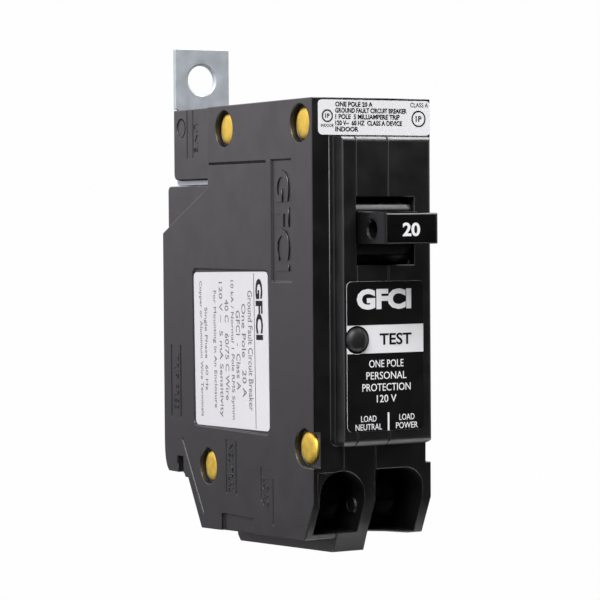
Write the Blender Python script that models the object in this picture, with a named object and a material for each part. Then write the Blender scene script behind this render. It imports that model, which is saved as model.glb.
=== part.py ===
"""One-pole bolt-on ground-fault circuit breaker for a one inch pole, as separate pieces.

Axes: +X to the right, +Y to the back, +Z up, with the handle facing -Y. Sizes below are in
millimetres in the body's own coordinates: X is 0 on the centre line of the pole, Y is 0 on the
front shoulder and Z is 0 on the top. The empty named breaker carries every piece and moves the
origin to the bolt hole of the line terminal, on its rear face, where the panel's bus holds it.
The handle stands at its middle, tripped position.
"""

import math

import bmesh
import bpy
from mathutils import Vector

MM = 0.001

# Pole and housing
HALF = 12.7
RIGHT_FACE = 12.2
DEPTH = 60.5
WALL = 2.0
TOP_RISE = 0.2
RELIEF = 1.3
SEAM_LEFT = -6.3
SEAM_RIGHT = 0.35
SEAM_GAP = 0.3
LEVEL = HALF - RELIEF
BLOCK_REAR = 57.75
STEP_Y = 40.8
SLIT_TOP = -13.75
SLIT_BOTTOM = -14.95
FOOT_Z = -71.4
BOTTOM_REAR = (44.6, -81.4)
BOTTOM_FRONT = (3.6, -79.6)
CHIN = (0.3, -72.8)
SPUR_REAR = (40.5, -83.9)
SPUR_FRONT = (4.7, -82.3)

# Raised nose round the handle
NOSE_LEFT = -9.1
NOSE_RIGHT = 9.5
NOSE_FRONT = -4.7
NOSE_TOP = -7.1
NOSE_BOTTOM = -62.4
NOSE_WALL = 1.7

# Handle and its window
WINDOW_LEFT = -6.2
WINDOW_RIGHT = 5.8
WINDOW_TOP = -17.7
WINDOW_BOTTOM = -29.9
HANDLE_AXIS = (5.0, -23.6)
HUB_RADIUS = 9.7
HANDLE_LEFT = -5.95
HUB_RIGHT = 5.45
LEVER_RIGHT = 5.2
LEVER_FRONT = -14.2
LEVER_TOP = -20.6
LEVER_BOTTOM = -26.1
LEVER_HOLE = (-9.4, -23.5, 1.65)
BAY_TOP = -10.0
BAY_BOTTOM = -37.2
BAY_REAR = 15.5

# Rivets, as (y, z)
RIVETS = ((33.9, -4.4), (4.5, -4.3), (41.5, -69.1), (3.6, -62.8))
RIVET_HOLE = 3.45
RIVET_HEAD = 2.95
RIVET_SHANK = 1.5
LEFT_COUNTERBORE = 1.4
RIGHT_COUNTERBORE = 1.1
RIVET_SLOT = (-66.3, -60.0)

# Terminal pockets
POCKET_DEPTH = 14.5
POCKET_FLOOR = -78.0
POCKET_TOP = -67.1
LEFT_POCKET = (-11.1, -1.8)
RIGHT_POCKET = (0.4, 10.5)
NEUTRAL_X = -6.45
LOAD_X = 5.6
SCREW_AXIS_Z = -73.3
SCREW_HEAD = 3.2
SCREW_SHANK = 1.7
SCREW_CLEARANCE = 2.0

# Line terminal strap
TAB_LEFT = -11.2
TAB_RIGHT = 0.75
TAB_TOP = 12.2
TAB_FOOT = 0.25
TAB_HOLE_X = -5.35
TAB_HOLE_Z = 6.15
SHANK_LEFT = -10.5
SHANK_RIGHT = 0.0
TAB_HOLE = 2.9
STRAP = 1.0
STRAP_FRONT = 57.2
MOUNT = Vector((TAB_HOLE_X, STRAP_FRONT + STRAP, TAB_HOLE_Z)) * MM

# Test button
BUTTON = (-6.4, -43.2)
BUTTON_RADIUS = 2.05
BUTTON_WELL = 2.4

# Side label, in its shallow recess, as (low, high) along Y and Z
SIDE_LABEL_Y = (17.1, 47.1)
SIDE_LABEL_Z = (-61.3, -31.2)
LABEL_RECESS = 0.3
LABEL_MARGIN = 0.9
LABEL_THICKNESS = 0.12
LABEL_LIFT = 0.06

BLACK = (0.020, 0.020, 0.021)
ROUND = 28


def arc(centre, radius, start, end, steps):
    """Points on a circle's arc, from start to end in degrees."""
    points = []
    for step in range(steps + 1):
        angle = math.radians(start + (end - start) * step / steps)
        points.append((centre[0] + radius * math.cos(angle), centre[1] + radius * math.sin(angle)))
    return points


def circle(centre, radius, steps=ROUND):
    return arc(centre, radius, 0, 360 * (steps - 1) / steps, steps - 1)


def placed(axis, across, along):
    """A point from its place across an axis, in X, Y, Z order, and its place along it."""
    first, second = across
    return {
        "X": Vector((along, first, second)),
        "Y": Vector((first, along, second)),
        "Z": Vector((first, second, along)),
    }[axis] * MM


def prism(axis, outline, low, high):
    """A closed prism of an outline between two places along an axis."""
    shape = bmesh.new()
    ends = []
    for along in (low, high):
        ends.append([shape.verts.new(placed(axis, point, along)) for point in outline])
    shape.faces.new(ends[0])
    shape.faces.new(ends[1])
    count = len(outline)
    for index in range(count):
        after = (index + 1) % count
        shape.faces.new((ends[0][index], ends[0][after], ends[1][after], ends[1][index]))
    bmesh.ops.recalc_face_normals(shape, faces=shape.faces)
    return shape


def box(x, y, z):
    """A closed box from its (low, high) ranges."""
    return prism("X", [(y[0], z[0]), (y[1], z[0]), (y[1], z[1]), (y[0], z[1])], x[0], x[1])


def rod(axis, centre, radius, low, high, steps=ROUND):
    return prism(axis, circle(centre, radius, steps), low, high)


def turned(axis, centre, profile, steps=ROUND):
    """A solid of revolution. The profile lists (radius, place along the axis), tip to tip."""
    shape = bmesh.new()
    rings = []
    for radius, along in profile:
        if radius == 0:
            rings.append([shape.verts.new(placed(axis, centre, along))])
        else:
            rings.append([shape.verts.new(placed(axis, p, along)) for p in circle(centre, radius, steps)])
    for first, second in zip(rings, rings[1:]):
        for index in range(steps):
            after = (index + 1) % steps
            if len(first) == 1:
                shape.faces.new((first[0], second[index], second[after]))
            elif len(second) == 1:
                shape.faces.new((first[after], first[index], second[0]))
            else:
                shape.faces.new((first[index], second[index], second[after], first[after]))
    bmesh.ops.recalc_face_normals(shape, faces=shape.faces)
    return shape


def ring(axis, centre, outer, inner, low, high, steps=ROUND):
    """A washer shape."""
    profile = [(inner, low), (outer, low), (outer, high), (inner, high)]
    shape = bmesh.new()
    loops = []
    for radius, along in profile:
        loops.append([shape.verts.new(placed(axis, p, along)) for p in circle(centre, radius, steps)])
    for number in range(len(loops)):
        first = loops[number]
        second = loops[(number + 1) % len(loops)]
        for index in range(steps):
            after = (index + 1) % steps
            shape.faces.new((first[index], second[index], second[after], first[after]))
    bmesh.ops.recalc_face_normals(shape, faces=shape.faces)
    return shape


def tube_along(path, radius, sides=8):
    """A round bar whose centre follows the path, with flat ends."""
    shape = bmesh.new()
    points = [Vector(point) * MM for point in path]
    loops = []
    tangent = (points[1] - points[0]).normalized()
    side = tangent.orthogonal().normalized()
    for index, point in enumerate(points):
        before = points[max(index - 1, 0)]
        after = points[min(index + 1, len(points) - 1)]
        turned_tangent = (after - before).normalized()
        side = (side - turned_tangent * side.dot(turned_tangent)).normalized()
        other = turned_tangent.cross(side)
        loop = []
        for number in range(sides):
            angle = 2 * math.pi * number / sides
            offset = side * math.cos(angle) + other * math.sin(angle)
            loop.append(shape.verts.new(point + offset * radius * MM))
        loops.append(loop)
    for first, second in zip(loops, loops[1:]):
        for index in range(sides):
            after = (index + 1) % sides
            shape.faces.new((first[index], second[index], second[after], first[after]))
    shape.faces.new(loops[0])
    shape.faces.new(loops[-1])
    bmesh.ops.recalc_face_normals(shape, faces=shape.faces)
    return shape


def coil_path(axis, centre, radius, low, high, turns, steps=10):
    """Points on a helix round an axis."""
    count = int(turns * steps)
    path = []
    for index in range(count + 1):
        angle = 2 * math.pi * index / steps
        across = (centre[0] + radius * math.cos(angle), centre[1] + radius * math.sin(angle))
        path.append(placed(axis, across, low + (high - low) * index / count) / MM)
    return path


def rounded_path(corners, bend, steps=3):
    """A path through the corners, each inner corner cut by a short curve."""
    corners = [Vector(corner) for corner in corners]
    path = [corners[0]]
    for before, corner, after in zip(corners, corners[1:], corners[2:]):
        start = corner + (before - corner).normalized() * bend
        end = corner + (after - corner).normalized() * bend
        for step in range(steps + 1):
            part = step / steps
            path.append(start.lerp(corner, part).lerp(corner.lerp(end, part), part))
    path.append(corners[-1])
    return path


def material(name, colour, roughness, metallic):
    made = bpy.data.materials.new(name)
    made.use_nodes = True
    shader = made.node_tree.nodes["Principled BSDF"]
    shader.inputs["Base Color"].default_value = (*colour, 1)
    shader.inputs["Roughness"].default_value = roughness
    shader.inputs["Metallic"].default_value = metallic
    return made


def add(name, shape, finish, pivot=(0, 0, 0)):
    """Names a shape as one piece, with its origin at the pivot, and hangs it on the breaker."""
    origin = Vector(pivot) * MM
    bmesh.ops.translate(shape, verts=shape.verts, vec=-origin)
    mesh = bpy.data.meshes.new(name)
    shape.to_mesh(mesh)
    shape.free()
    piece = bpy.data.objects.new(name, mesh)
    piece.location = origin
    piece.parent = bpy.data.objects["breaker"]
    bpy.context.scene.collection.objects.link(piece)
    if finish is not None:
        mesh.materials.append(finish)
        mesh.shade_smooth()
        mesh.set_sharp_from_angle(angle=math.radians(35))
    return piece


def change(piece, operation, *shapes):
    """Adds or cuts each shape with a Boolean."""
    for shape in shapes:
        number = len(piece.modifiers)
        tool = add(f"{piece.name}_tool_{number}", shape, None, piece.location / MM)
        tool.hide_render = True
        tool.display_type = "WIRE"
        boolean = piece.modifiers.new(f"{operation.lower()}_{number}", "BOOLEAN")
        boolean.operation = operation
        boolean.solver = "EXACT"
        boolean.object = tool


def fuse(piece, *shapes):
    change(piece, "UNION", *shapes)


def cut(piece, *shapes):
    change(piece, "DIFFERENCE", *shapes)


# Outlines in the (y, z) plane


def lower_edge(bottom_rear, bottom_front):
    """The foot, its rail slot, the slanted rear and the underside, from the rear face to the chin."""
    return [
        (DEPTH, -65.5),
        (60.2, -68.6),
        (59.2, FOOT_Z + 0.2),
        (58.7, FOOT_Z),
        (54.8, FOOT_Z),
        (54.8, -68.1),
        (52.3, -68.1),
        (52.3, FOOT_Z),
        (51.9, FOOT_Z),
        (51.5, -72.1),
        (50.3, -72.1),
        bottom_rear,
        bottom_front,
        CHIN,
    ]


def plate_outline():
    """The raised side plate."""
    top = [(0, TOP_RISE), (STEP_Y, 0), (STEP_Y, -15.3), (DEPTH, -24.2)]
    return top + lower_edge(BOTTOM_REAR, BOTTOM_FRONT)


def body_outline():
    """The whole side, with the line terminal block and the slit under it."""
    block = [(0, TOP_RISE), (STEP_Y, 0), (BLOCK_REAR, 0)] + arc((BLOCK_REAR - 1.2, SLIT_TOP + 1.2), 1.2, 0, -90, 4)
    slit = [(38.5, SLIT_TOP), (38.5, SLIT_BOTTOM)]
    ledge = arc((DEPTH - 1.0, SLIT_BOTTOM - 1.0), 1.0, 90, 0, 3)
    return block + slit + ledge + lower_edge(BOTTOM_REAR, BOTTOM_FRONT)


def spur_outline():
    """The lower ridge of the middle shell, under the left terminal pocket."""
    return [
        (16.0, -80.0),
        (41.9, -80.0),
        (41.6, -82.8),
        SPUR_REAR,
        SPUR_FRONT,
        (BOTTOM_FRONT[0] - 0.05, BOTTOM_FRONT[1] + 0.1),
    ]


def nose_outline():
    return [
        (3.0, NOSE_TOP),
        (-3.9, NOSE_TOP),
        (NOSE_FRONT, NOSE_TOP - 0.9),
        (NOSE_FRONT, NOSE_BOTTOM + 1.4),
        (-4.2, NOSE_BOTTOM + 0.4),
        (-3.2, NOSE_BOTTOM),
        (3.0, NOSE_BOTTOM),
    ]


def chamber_outline():
    """The hollow inside the walls, behind the terminal pockets."""
    return [
        (WALL, -WALL),
        (38.7, -WALL),
        (38.7, -17.0),
        (58.3, -17.0),
        (58.3, -66.0),
        (56.6, -69.0 + 2.4),
        (49.2, -69.0 + 1.8),
        (43.0, -78.4),
        (POCKET_DEPTH + WALL, -77.6),
        (POCKET_DEPTH + WALL, POCKET_TOP + WALL),
        (WALL, POCKET_TOP + WALL),
    ]


def middle_chamber_outline():
    """The same hollow in the middle shell, which keeps the bay of the handle solid."""
    chamber = chamber_outline()
    bay_bottom = BAY_BOTTOM - 1.8
    return [(BAY_REAR + 1.5, -WALL)] + chamber[1:] + [(WALL, bay_bottom), (BAY_REAR + 1.5, bay_bottom)]


def left_pocket(low, high, front, rear):
    """The arched pocket over the neutral terminal."""
    left, right = LEFT_POCKET
    radius = (right - left) / 2
    centre = (left + radius, POCKET_TOP - radius)
    outline = [(left, POCKET_FLOOR)] + arc(centre, radius, 180, 0, 12) + [(right, POCKET_FLOOR)]
    shape = prism("Y", outline, front, rear)
    return clipped(shape, low, high)


def right_pocket(front, rear):
    """The pocket over the load terminal, square on its left and round on its right."""
    left, right = RIGHT_POCKET
    radius = 5.0
    corner = arc((right - radius, POCKET_TOP - radius), radius, 90, 0, 8)
    outline = [(left, -78.3), (left, POCKET_TOP)] + corner + [(right, -78.3)]
    return prism("Y", outline, front, rear)


def clipped(shape, low, high):
    """Keeps the part of a shape between two places along X."""
    for place, keep_below in ((low, False), (high, True)):
        geometry = list(shape.verts) + list(shape.edges) + list(shape.faces)
        result = bmesh.ops.bisect_plane(
            shape,
            geom=geometry,
            plane_co=(place * MM, 0, 0),
            plane_no=(1, 0, 0),
            clear_inner=not keep_below,
            clear_outer=keep_below,
        )
        edges = [item for item in result["geom_cut"] if isinstance(item, bmesh.types.BMEdge)]
        bmesh.ops.contextual_create(shape, geom=edges)
    bmesh.ops.recalc_face_normals(shape, faces=shape.faces)
    return shape


def screw_clearance(x):
    """The hole behind a terminal into which its screw advances."""
    return rod("Y", (x, SCREW_AXIS_Z), SCREW_CLEARANCE, POCKET_DEPTH - 0.5, POCKET_DEPTH + WALL + 0.5, 20)


def rivet_bosses(low, high):
    return [rod("X", centre, RIVET_HEAD + 0.1, low, high, 20) for centre in RIVETS]


def rivet_holes(low, high):
    return [rod("X", centre, RIVET_SHANK + 0.15, low, high, 16) for centre in RIVETS]


def counterbores(low, high):
    """The recess of each rivet head, with the slot by which the lowest one breaks the front edge."""
    shapes = [rod("X", centre, RIVET_HOLE, low, high) for centre in RIVETS]
    shapes.append(box((low, high), (-1.0, RIVETS[3][0]), RIVET_SLOT))
    return shapes


def shank_recess():
    """The groove in the rear of the terminal block that the strap's shank stands in."""
    return box((SHANK_LEFT - 0.3, SHANK_RIGHT + 0.3), (STRAP_FRONT - 0.2, BLOCK_REAR + 1.0), (SLIT_BOTTOM, 1.0))


def build_left_housing(finish):
    inner = SEAM_LEFT - SEAM_GAP / 2
    piece = add("left_housing", prism("X", body_outline(), -LEVEL, inner), finish)
    fuse(piece, prism("X", plate_outline(), -HALF, -LEVEL + 0.2))
    fuse(piece, prism("X", nose_outline(), NOSE_LEFT, inner))
    cut(piece, prism("X", chamber_outline(), -HALF + WALL, inner + 0.5))
    cut(piece, box((NOSE_LEFT + 1.5, inner + 0.5), (NOSE_FRONT + NOSE_WALL, 2.5), (-60.0, -9.0)))
    fuse(piece, *rivet_bosses(-HALF + WALL - 0.2, inner))
    fuse(piece, box((inner - 0.85, inner), (NOSE_FRONT + 1.0, BAY_REAR), (BAY_BOTTOM, BAY_TOP + 1.5)))
    cut(piece, rod("X", HANDLE_AXIS, 1.1, inner - 0.6, inner + 0.5, 16))
    cut(piece, clipped(shank_recess(), -HALF, inner + 0.5))
    cut(piece, left_pocket(LEFT_POCKET[0], inner + 0.5, -1.0, POCKET_DEPTH))
    cut(piece, box((-8.7, inner + 0.5), (POCKET_DEPTH - 0.5, POCKET_DEPTH + 2.5), (-69.7, -68.3)))
    cut(piece, clipped(screw_clearance(NEUTRAL_X), -HALF, inner + 0.5))
    cut(piece, rod("Y", BUTTON, BUTTON_WELL, NOSE_FRONT - 1, WALL + 0.3))
    cut(piece, *counterbores(-HALF - 1, -HALF + LEFT_COUNTERBORE))
    cut(piece, *rivet_holes(-HALF - 1, inner + 1))
    cut(piece, box((-HALF - 1, -HALF + 0.35), (8.0, 15.5), (-32.9, -10.7)))
    label_y = (SIDE_LABEL_Y[0] - LABEL_MARGIN, SIDE_LABEL_Y[1] + LABEL_MARGIN)
    label_z = (SIDE_LABEL_Z[0] - LABEL_MARGIN, SIDE_LABEL_Z[1] + LABEL_MARGIN)
    cut(piece, box((-HALF - 1, -HALF + LABEL_RECESS), label_y, label_z))
    cut(piece, box((-HALF - 1, -HALF + 0.6), (23.4, 36.0), (-83.0, -78.0)))


def build_middle_housing(finish):
    left = SEAM_LEFT + SEAM_GAP / 2
    right = SEAM_RIGHT - SEAM_GAP / 2
    piece = add("middle_housing", prism("X", body_outline(), left, right), finish)
    fuse(piece, prism("X", nose_outline(), left, right), prism("X", spur_outline(), left, right))
    cut(piece, prism("X", middle_chamber_outline(), left - 0.5, -1.3))
    cut(piece, box((left - 0.5, right + 0.5), (NOSE_FRONT + NOSE_WALL, BAY_REAR), (BAY_BOTTOM, BAY_TOP)))
    cut(piece, box((left - 0.5, -1.3), (NOSE_FRONT + NOSE_WALL, 2.5), (-60.0, BAY_BOTTOM - 1.8)))
    fuse(piece, *rivet_bosses(left, -1.2))
    fuse(piece, box((left, -2.9), (7.7, 8.4), (-47.5, BAY_BOTTOM - 1.0)))
    cut(piece, box((WINDOW_LEFT, right + 0.5), (NOSE_FRONT - 1, NOSE_FRONT + 2), (WINDOW_BOTTOM, WINDOW_TOP)))
    cut(piece, left_pocket(left - 0.5, LEFT_POCKET[1], -1.0, POCKET_DEPTH))
    cut(piece, box((left - 0.5, -4.2), (POCKET_DEPTH - 0.5, POCKET_DEPTH + 2.5), (-69.7, -68.3)))
    cut(piece, clipped(screw_clearance(NEUTRAL_X), left - 0.5, 0))
    cut(piece, rod("Y", BUTTON, BUTTON_WELL, NOSE_FRONT - 1, WALL + 0.3))
    cut(piece, rod("Y", BUTTON, 1.1, 7, 9, 16))
    cut(piece, clipped(shank_recess(), left - 0.5, right + 0.5))
    cut(piece, box((-1.5, right + 0.5), (31.0, 38.6), (-16.3, -13.7)))
    cut(piece, box((-1.5, right + 0.5), (14.6, 18.2), (-56.0, -54.0)))
    cut(piece, *rivet_holes(left - 1, right + 1))
    fuse(piece, turned("X", (4.4, -73.4), [(0, -2.4), (1.7, -2.4), (1.7, -1.5), (0, -1.5)], 20))


def build_right_housing(finish):
    inner = SEAM_RIGHT + SEAM_GAP / 2
    piece = add("right_housing", prism("X", body_outline(), inner, LEVEL), finish)
    fuse(piece, prism("X", plate_outline(), LEVEL - 0.2, RIGHT_FACE))
    fuse(piece, prism("X", nose_outline(), inner, NOSE_RIGHT))
    cut(piece, prism("X", chamber_outline(), inner - 0.5, HALF - WALL))
    cut(piece, box((inner - 0.5, NOSE_RIGHT - 1.9), (NOSE_FRONT + NOSE_WALL, 2.5), (-60.0, -9.0)))
    fuse(piece, *rivet_bosses(inner, HALF - WALL + 0.2))
    fuse(piece, box((5.6, 6.2), (NOSE_FRONT + 1.0, BAY_REAR), (BAY_BOTTOM, BAY_TOP + 1.2)))
    fuse(piece, box((4.0, HALF - WALL + 0.2), (11.4, 12.5), (-60.2, -56.8)))
    cut(piece, box((inner - 0.5, WINDOW_RIGHT), (NOSE_FRONT - 1, NOSE_FRONT + 2), (WINDOW_BOTTOM, WINDOW_TOP)))
    cut(piece, right_pocket(-1.0, POCKET_DEPTH))
    cut(piece, box((2.8, 8.2), (POCKET_DEPTH - 0.5, POCKET_DEPTH + 2.5), (-69.7, -68.3)))
    cut(piece, screw_clearance(LOAD_X))
    cut(piece, rod("X", HANDLE_AXIS, 1.1, 5.0, 7.0, 16))
    cut(piece, *counterbores(RIGHT_FACE - RIGHT_COUNTERBORE, RIGHT_FACE + 1))
    cut(piece, *rivet_holes(inner - 1, HALF + 1))


def build_rivets(finish):
    left = -HALF + LEFT_COUNTERBORE - 0.05
    right = RIGHT_FACE - RIGHT_COUNTERBORE + 0.05
    for number, centre in enumerate(RIVETS, 1):
        profile = [(0, left - 0.65), (2.2, left - 0.6), (RIVET_HEAD, left - 0.2), (RIVET_HEAD, left)]
        profile += [(RIVET_SHANK, left), (RIVET_SHANK, right), (RIVET_HEAD, right)]
        profile += [(RIVET_HEAD, right + 0.15), (2.4, right + 0.35), (0, right + 0.4)]
        add(f"rivet_{number}", turned("X", centre, profile, 24), finish)


def build_handle(finish, steel):
    y, z = HANDLE_AXIS
    pivot = (0, y, z)
    hub = rod("X", HANDLE_AXIS, HUB_RADIUS, HANDLE_LEFT, HUB_RIGHT, 40)
    piece = add("handle", hub, finish, pivot)
    half_lever = (LEVER_TOP - LEVER_BOTTOM) / 2
    middle = (LEVER_TOP + LEVER_BOTTOM) / 2
    corner = 1.2
    outline = [(HANDLE_LEFT, 0), (HANDLE_LEFT, LEVER_FRONT + 0.3), (HANDLE_LEFT + 0.3, LEVER_FRONT)]
    outline += arc((LEVER_RIGHT - corner, LEVER_FRONT + corner), corner, -90, 0, 4)
    outline += [(LEVER_RIGHT, 0)]
    fuse(piece, prism("Z", outline, middle - half_lever, middle + half_lever))
    cut(piece, rod("X", LEVER_HOLE[:2], LEVER_HOLE[2], HANDLE_LEFT - 1, LEVER_RIGHT + 1, 20))
    cut(piece, rod("X", HANDLE_AXIS, 1.25, HANDLE_LEFT - 1, HUB_RIGHT + 1, 16))
    add("handle_pin", rod("X", HANDLE_AXIS, 1.0, -6.95, 6.15, 16), steel)


def build_line_side(steel, copper, silver):
    """The bolt-on strap, the bar that carries its current across, and the fixed contact."""
    rear = STRAP_FRONT + STRAP
    middle = (SLIT_TOP + SLIT_BOTTOM) / 2
    outline = [(STRAP_FRONT, TAB_TOP - 1.0), (rear, TAB_TOP - 1.0), (rear, middle + STRAP / 2 - 0.6)]
    outline += [(rear - 0.6, middle - STRAP / 2), (33.5, middle - STRAP / 2), (33.5, middle + STRAP / 2)]
    outline += [(STRAP_FRONT, middle + STRAP / 2)]
    strap = add("line_terminal", prism("X", outline, SHANK_LEFT, SHANK_RIGHT), steel)
    fuse(strap, box((TAB_LEFT, TAB_RIGHT), (STRAP_FRONT, rear), (TAB_FOOT, TAB_TOP)))
    cut(strap, rod("Y", (TAB_HOLE_X, TAB_HOLE_Z), TAB_HOLE, STRAP_FRONT - 1, rear + 1))
    add("line_conductor", box((-9.0, 8.0), (31.5, 37.5), (-16.15, -15.05)), copper)
    add("stationary_contact", turned("Z", (4.8, 34.5), [(0, -16.3), (1.9, -16.3), (1.9, -17.1), (0, -17.4)], 20), silver)


def build_mechanism(steel, copper, silver, spring_steel, bimetal_finish, braid_finish):
    """The contact arm, its over-centre spring, the trip cradle and the thermal and magnetic trip."""
    arm_pivot = (17.6, -25.0)
    outline = arc(arm_pivot, 1.9, 120, 290, 8) + [(24.0, -26.2), (36.2, -23.2), (36.2, -21.6), (24.0, -22.9)]
    arm = add("contact_arm", prism("X", outline, 4.0, 5.6), copper, (0, *arm_pivot))
    cut(arm, rod("X", arm_pivot, 0.95, 3.0, 6.6, 16))
    add("contact_arm_pin", rod("X", arm_pivot, 0.8, 2.6, HALF - WALL - 0.1, 16), steel)
    contact = [(0, -21.0), (1.9, -21.2), (1.9, -21.5), (0, -21.5)]
    add("moving_contact", turned("Z", (4.8, 34.5), contact, 20), silver, (0, *arm_pivot))

    cradle_pivot = (34.5, -38.0)
    outline = [(36.8, -36.0), (36.8, -40.0), (27.0, -43.2), (19.4, -44.9), (19.4, -43.3), (27.0, -40.3), (32.0, -36.0)]
    cradle = add("trip_cradle", prism("X", outline, 8.5, 9.7), steel, (0, *cradle_pivot))
    cut(cradle, rod("X", cradle_pivot, 0.95, 8.0, 10.2, 16))
    add("cradle_pin", rod("X", cradle_pivot, 0.8, 7.9, HALF - WALL - 0.1, 16), steel)
    add("toggle_spring", tube_along(coil_path("Z", (7.0, 26.0), 1.1, -39.5, -27.5, 9), 0.25, 6), spring_steel)

    add("bimetal", box((2.5, 8.5), (22.0, 22.8), (-64.0, -46.0)), bimetal_finish)
    yoke = add("magnet_yoke", box((0.9, 10.3), (19.2, 25.4), (-58.5, -50.0)), steel)
    cut(yoke, box((1.9, 9.3), (18.0, 24.2), (-60.0, -48.0)))
    armature_pivot = (17.4, -46.5)
    armature = add("armature", box((1.5, 9.5), (16.9, 17.9), (-60.0, -46.0)), steel, (0, *armature_pivot))
    cut(armature, box((3.5, 7.5), (16.0, 19.0), (-53.0, -49.0)))
    add("armature_spring", tube_along(coil_path("Y", (7.2, -58.5), 1.0, 12.9, 16.6, 4), 0.2, 6), spring_steel)
    braid = rounded_path([(2.8, 24.5, -26.5), (2.8, 25.5, -35.0), (2.0, 21.0, -39.0), (2.6, 21.0, -48.5)], 2.0)
    add("flexible_braid", tube_along(braid, 0.75, 8), braid_finish)
    screw = [(0, 31.0), (2.0, 31.0), (2.0, 29.6), (1.2, 29.6), (1.2, 23.2), (0, 23.2)]
    add("calibration_screw", turned("Y", (5.5, -61.5), screw, 16), steel)


def build_arc_chute(steel, fibre):
    for number in range(4):
        height = -20.0 - 2.6 * number
        plate = add(f"arc_plate_{number + 1}", box((1.6, 9.4), (38.6, 46.0), (height - 0.8, height)), steel)
        cut(plate, box((4.0, 7.0), (37.0, 42.0), (height - 2.0, height + 1.0)))
    liner = add("arc_chute_liner", box((0.75, 10.3), (38.6, 47.0), (-30.0, -18.6)), fibre)
    cut(liner, box((1.35, 9.7), (38.0, 46.4), (-31.0, -18.0)))


def build_terminal(side, x, terminal_finish, screw_finish):
    """A terminal strap through the pocket wall, its pressure plate and its slotted screw."""
    half = 2.6 if side == "load" else 2.1
    outline = [(12.8, -68.4), (18.8, -68.4), (18.8, -65.3), (19.9, -65.3), (19.9, -69.6), (14.0, -69.6)]
    outline += [(14.0, -77.0), (12.8, -77.0)]
    low = max(x - half, -8.55)
    strap = add(f"{side}_terminal", prism("X", outline, low, x + half), terminal_finish)
    cut(strap, rod("Y", (x, SCREW_AXIS_Z), 1.85, 12.0, 15.0, 20))
    plate = add(f"{side}_clamp", box((x - 3.4, x + 3.4), (9.4, 10.5), (-76.8, -69.9)), screw_finish)
    cut(plate, rod("Y", (x, SCREW_AXIS_Z), 1.85, 9.0, 11.0, 20))
    profile = [(0, 6.9), (2.6, 6.9), (SCREW_HEAD, 7.4), (SCREW_HEAD, 9.2)]
    profile += [(SCREW_SHANK, 9.2), (SCREW_SHANK, 14.2), (0, 14.2)]
    pivot = (x, 0, SCREW_AXIS_Z)
    screw = add(f"{side}_screw", turned("Y", (x, SCREW_AXIS_Z), profile, 24), screw_finish, pivot)
    cut(screw, box((x - 4.0, x + 4.0), (6.0, 7.9), (SCREW_AXIS_Z - 0.45, SCREW_AXIS_Z + 0.45)))


def build_electronics(board_finish, core, copper, steel, dark, white, spring_steel):
    """The sensing transformers, the trip solenoid and the circuit board, in the left chamber."""
    outline = [(18.5, -20.0), (56.5, -20.0), (56.5, -62.0), (40.0, -62.0), (36.0, -58.0), (18.5, -49.0)]
    board = add("circuit_board", prism("X", outline, -2.9, -1.7), board_finish)
    cut(board, rod("X", (46.0, -30.0), 2.4, -3.5, -1.0, 20))
    add("sensing_transformer", ring("X", (46.0, -30.0), 7.4, 3.2, -8.6, -5.0), core)
    add("neutral_transformer", ring("X", (46.0, -47.0), 6.4, 2.8, -8.6, -5.0), core)
    path = [(-6.3, 19.35, -64.9), (-6.3, 19.35, -62.5), (-6.3, 30.0, -61.0), (-4.0, 40.0, -60.0)]
    path += [(-4.0, 46.0, -54.0), (-4.0, 46.0, -47.0), (-9.6, 46.0, -47.0), (-9.6, 46.0, -30.0), (-3.4, 46.0, -30.0)]
    add("neutral_wire", tube_along(rounded_path(path, 1.6), 0.7, 8), white)

    frame = add("solenoid_frame", box((-9.9, -3.4), (21.4, 34.4), (-58.6, -51.4)), steel)
    cut(frame, box((-8.9, -2.0), (22.4, 33.4), (-60.0, -50.0)))
    cut(frame, rod("Y", (-6.2, -55.0), 1.4, 20.0, 36.0, 16))
    add("solenoid_coil", ring("Y", (-6.2, -55.0), 2.55, 1.35, 22.6, 33.2, 24), copper)
    link = add("solenoid_plunger", rod("Y", (-6.2, -55.0), 1.1, 15.2, 31.0, 16), steel)
    fuse(link, box((-7.0, 4.0), (14.9, 16.1), (-55.6, -54.4)))
    add("plunger_spring", tube_along(coil_path("Y", (-6.2, -55.0), 1.45, 16.4, 21.2, 5), 0.2, 6), spring_steel)

    add("logic_chip", box((-4.5, -3.0), (24.0, 33.0), (-34.0, -29.0)), dark)
    add("filter_capacitor", rod("Y", (-5.6, -24.6), 2.2, 24.0, 35.0, 20), dark)
    add("trip_thyristor", box((-4.8, -3.0), (24.0, 28.5), (-44.0, -38.0)), dark)
    add("surge_varistor", rod("X", (53.0, -57.4), 3.6, -6.5, -3.2, 20), core)


def build_test_button(finish, spring_steel, copper):
    x, z = BUTTON
    profile = [(0, -6.1), (1.1, -5.95), (1.75, -5.5), (BUTTON_RADIUS, -4.9), (BUTTON_RADIUS, 2.6), (3.0, 2.6)]
    profile += [(3.0, 3.6), (0.8, 3.6), (0.8, 8.6), (0, 8.6)]
    add("test_button", turned("Y", BUTTON, profile, 24), finish, (x, 0, z))
    add("test_spring", tube_along(coil_path("Y", BUTTON, 1.55, 3.9, 7.4, 4), 0.2, 6), spring_steel)
    add("test_blade", box((x - 1.8, x + 1.8), (9.1, 9.5), (-59.0, z + 1.2)), copper, (x, 9.3, -58.5))


def build_labels(paper):
    """Thin printed labels that stand just off the plastic."""
    side = -HALF + LABEL_RECESS - LABEL_LIFT
    add("side_label", box((side - LABEL_THICKNESS, side), SIDE_LABEL_Y, SIDE_LABEL_Z), paper)
    add("top_label", box((-11.4, 12.1), (-LABEL_LIFT - LABEL_THICKNESS, -LABEL_LIFT), (-6.5, -0.25)), paper)
    front = NOSE_FRONT - LABEL_LIFT
    label = add("front_label", box((-8.5, 7.5), (front - LABEL_THICKNESS, front), (-59.7, -32.8)), paper)
    cut(label, rod("Y", BUTTON, BUTTON_WELL + 0.1, front - 1, front + 1))


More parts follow.
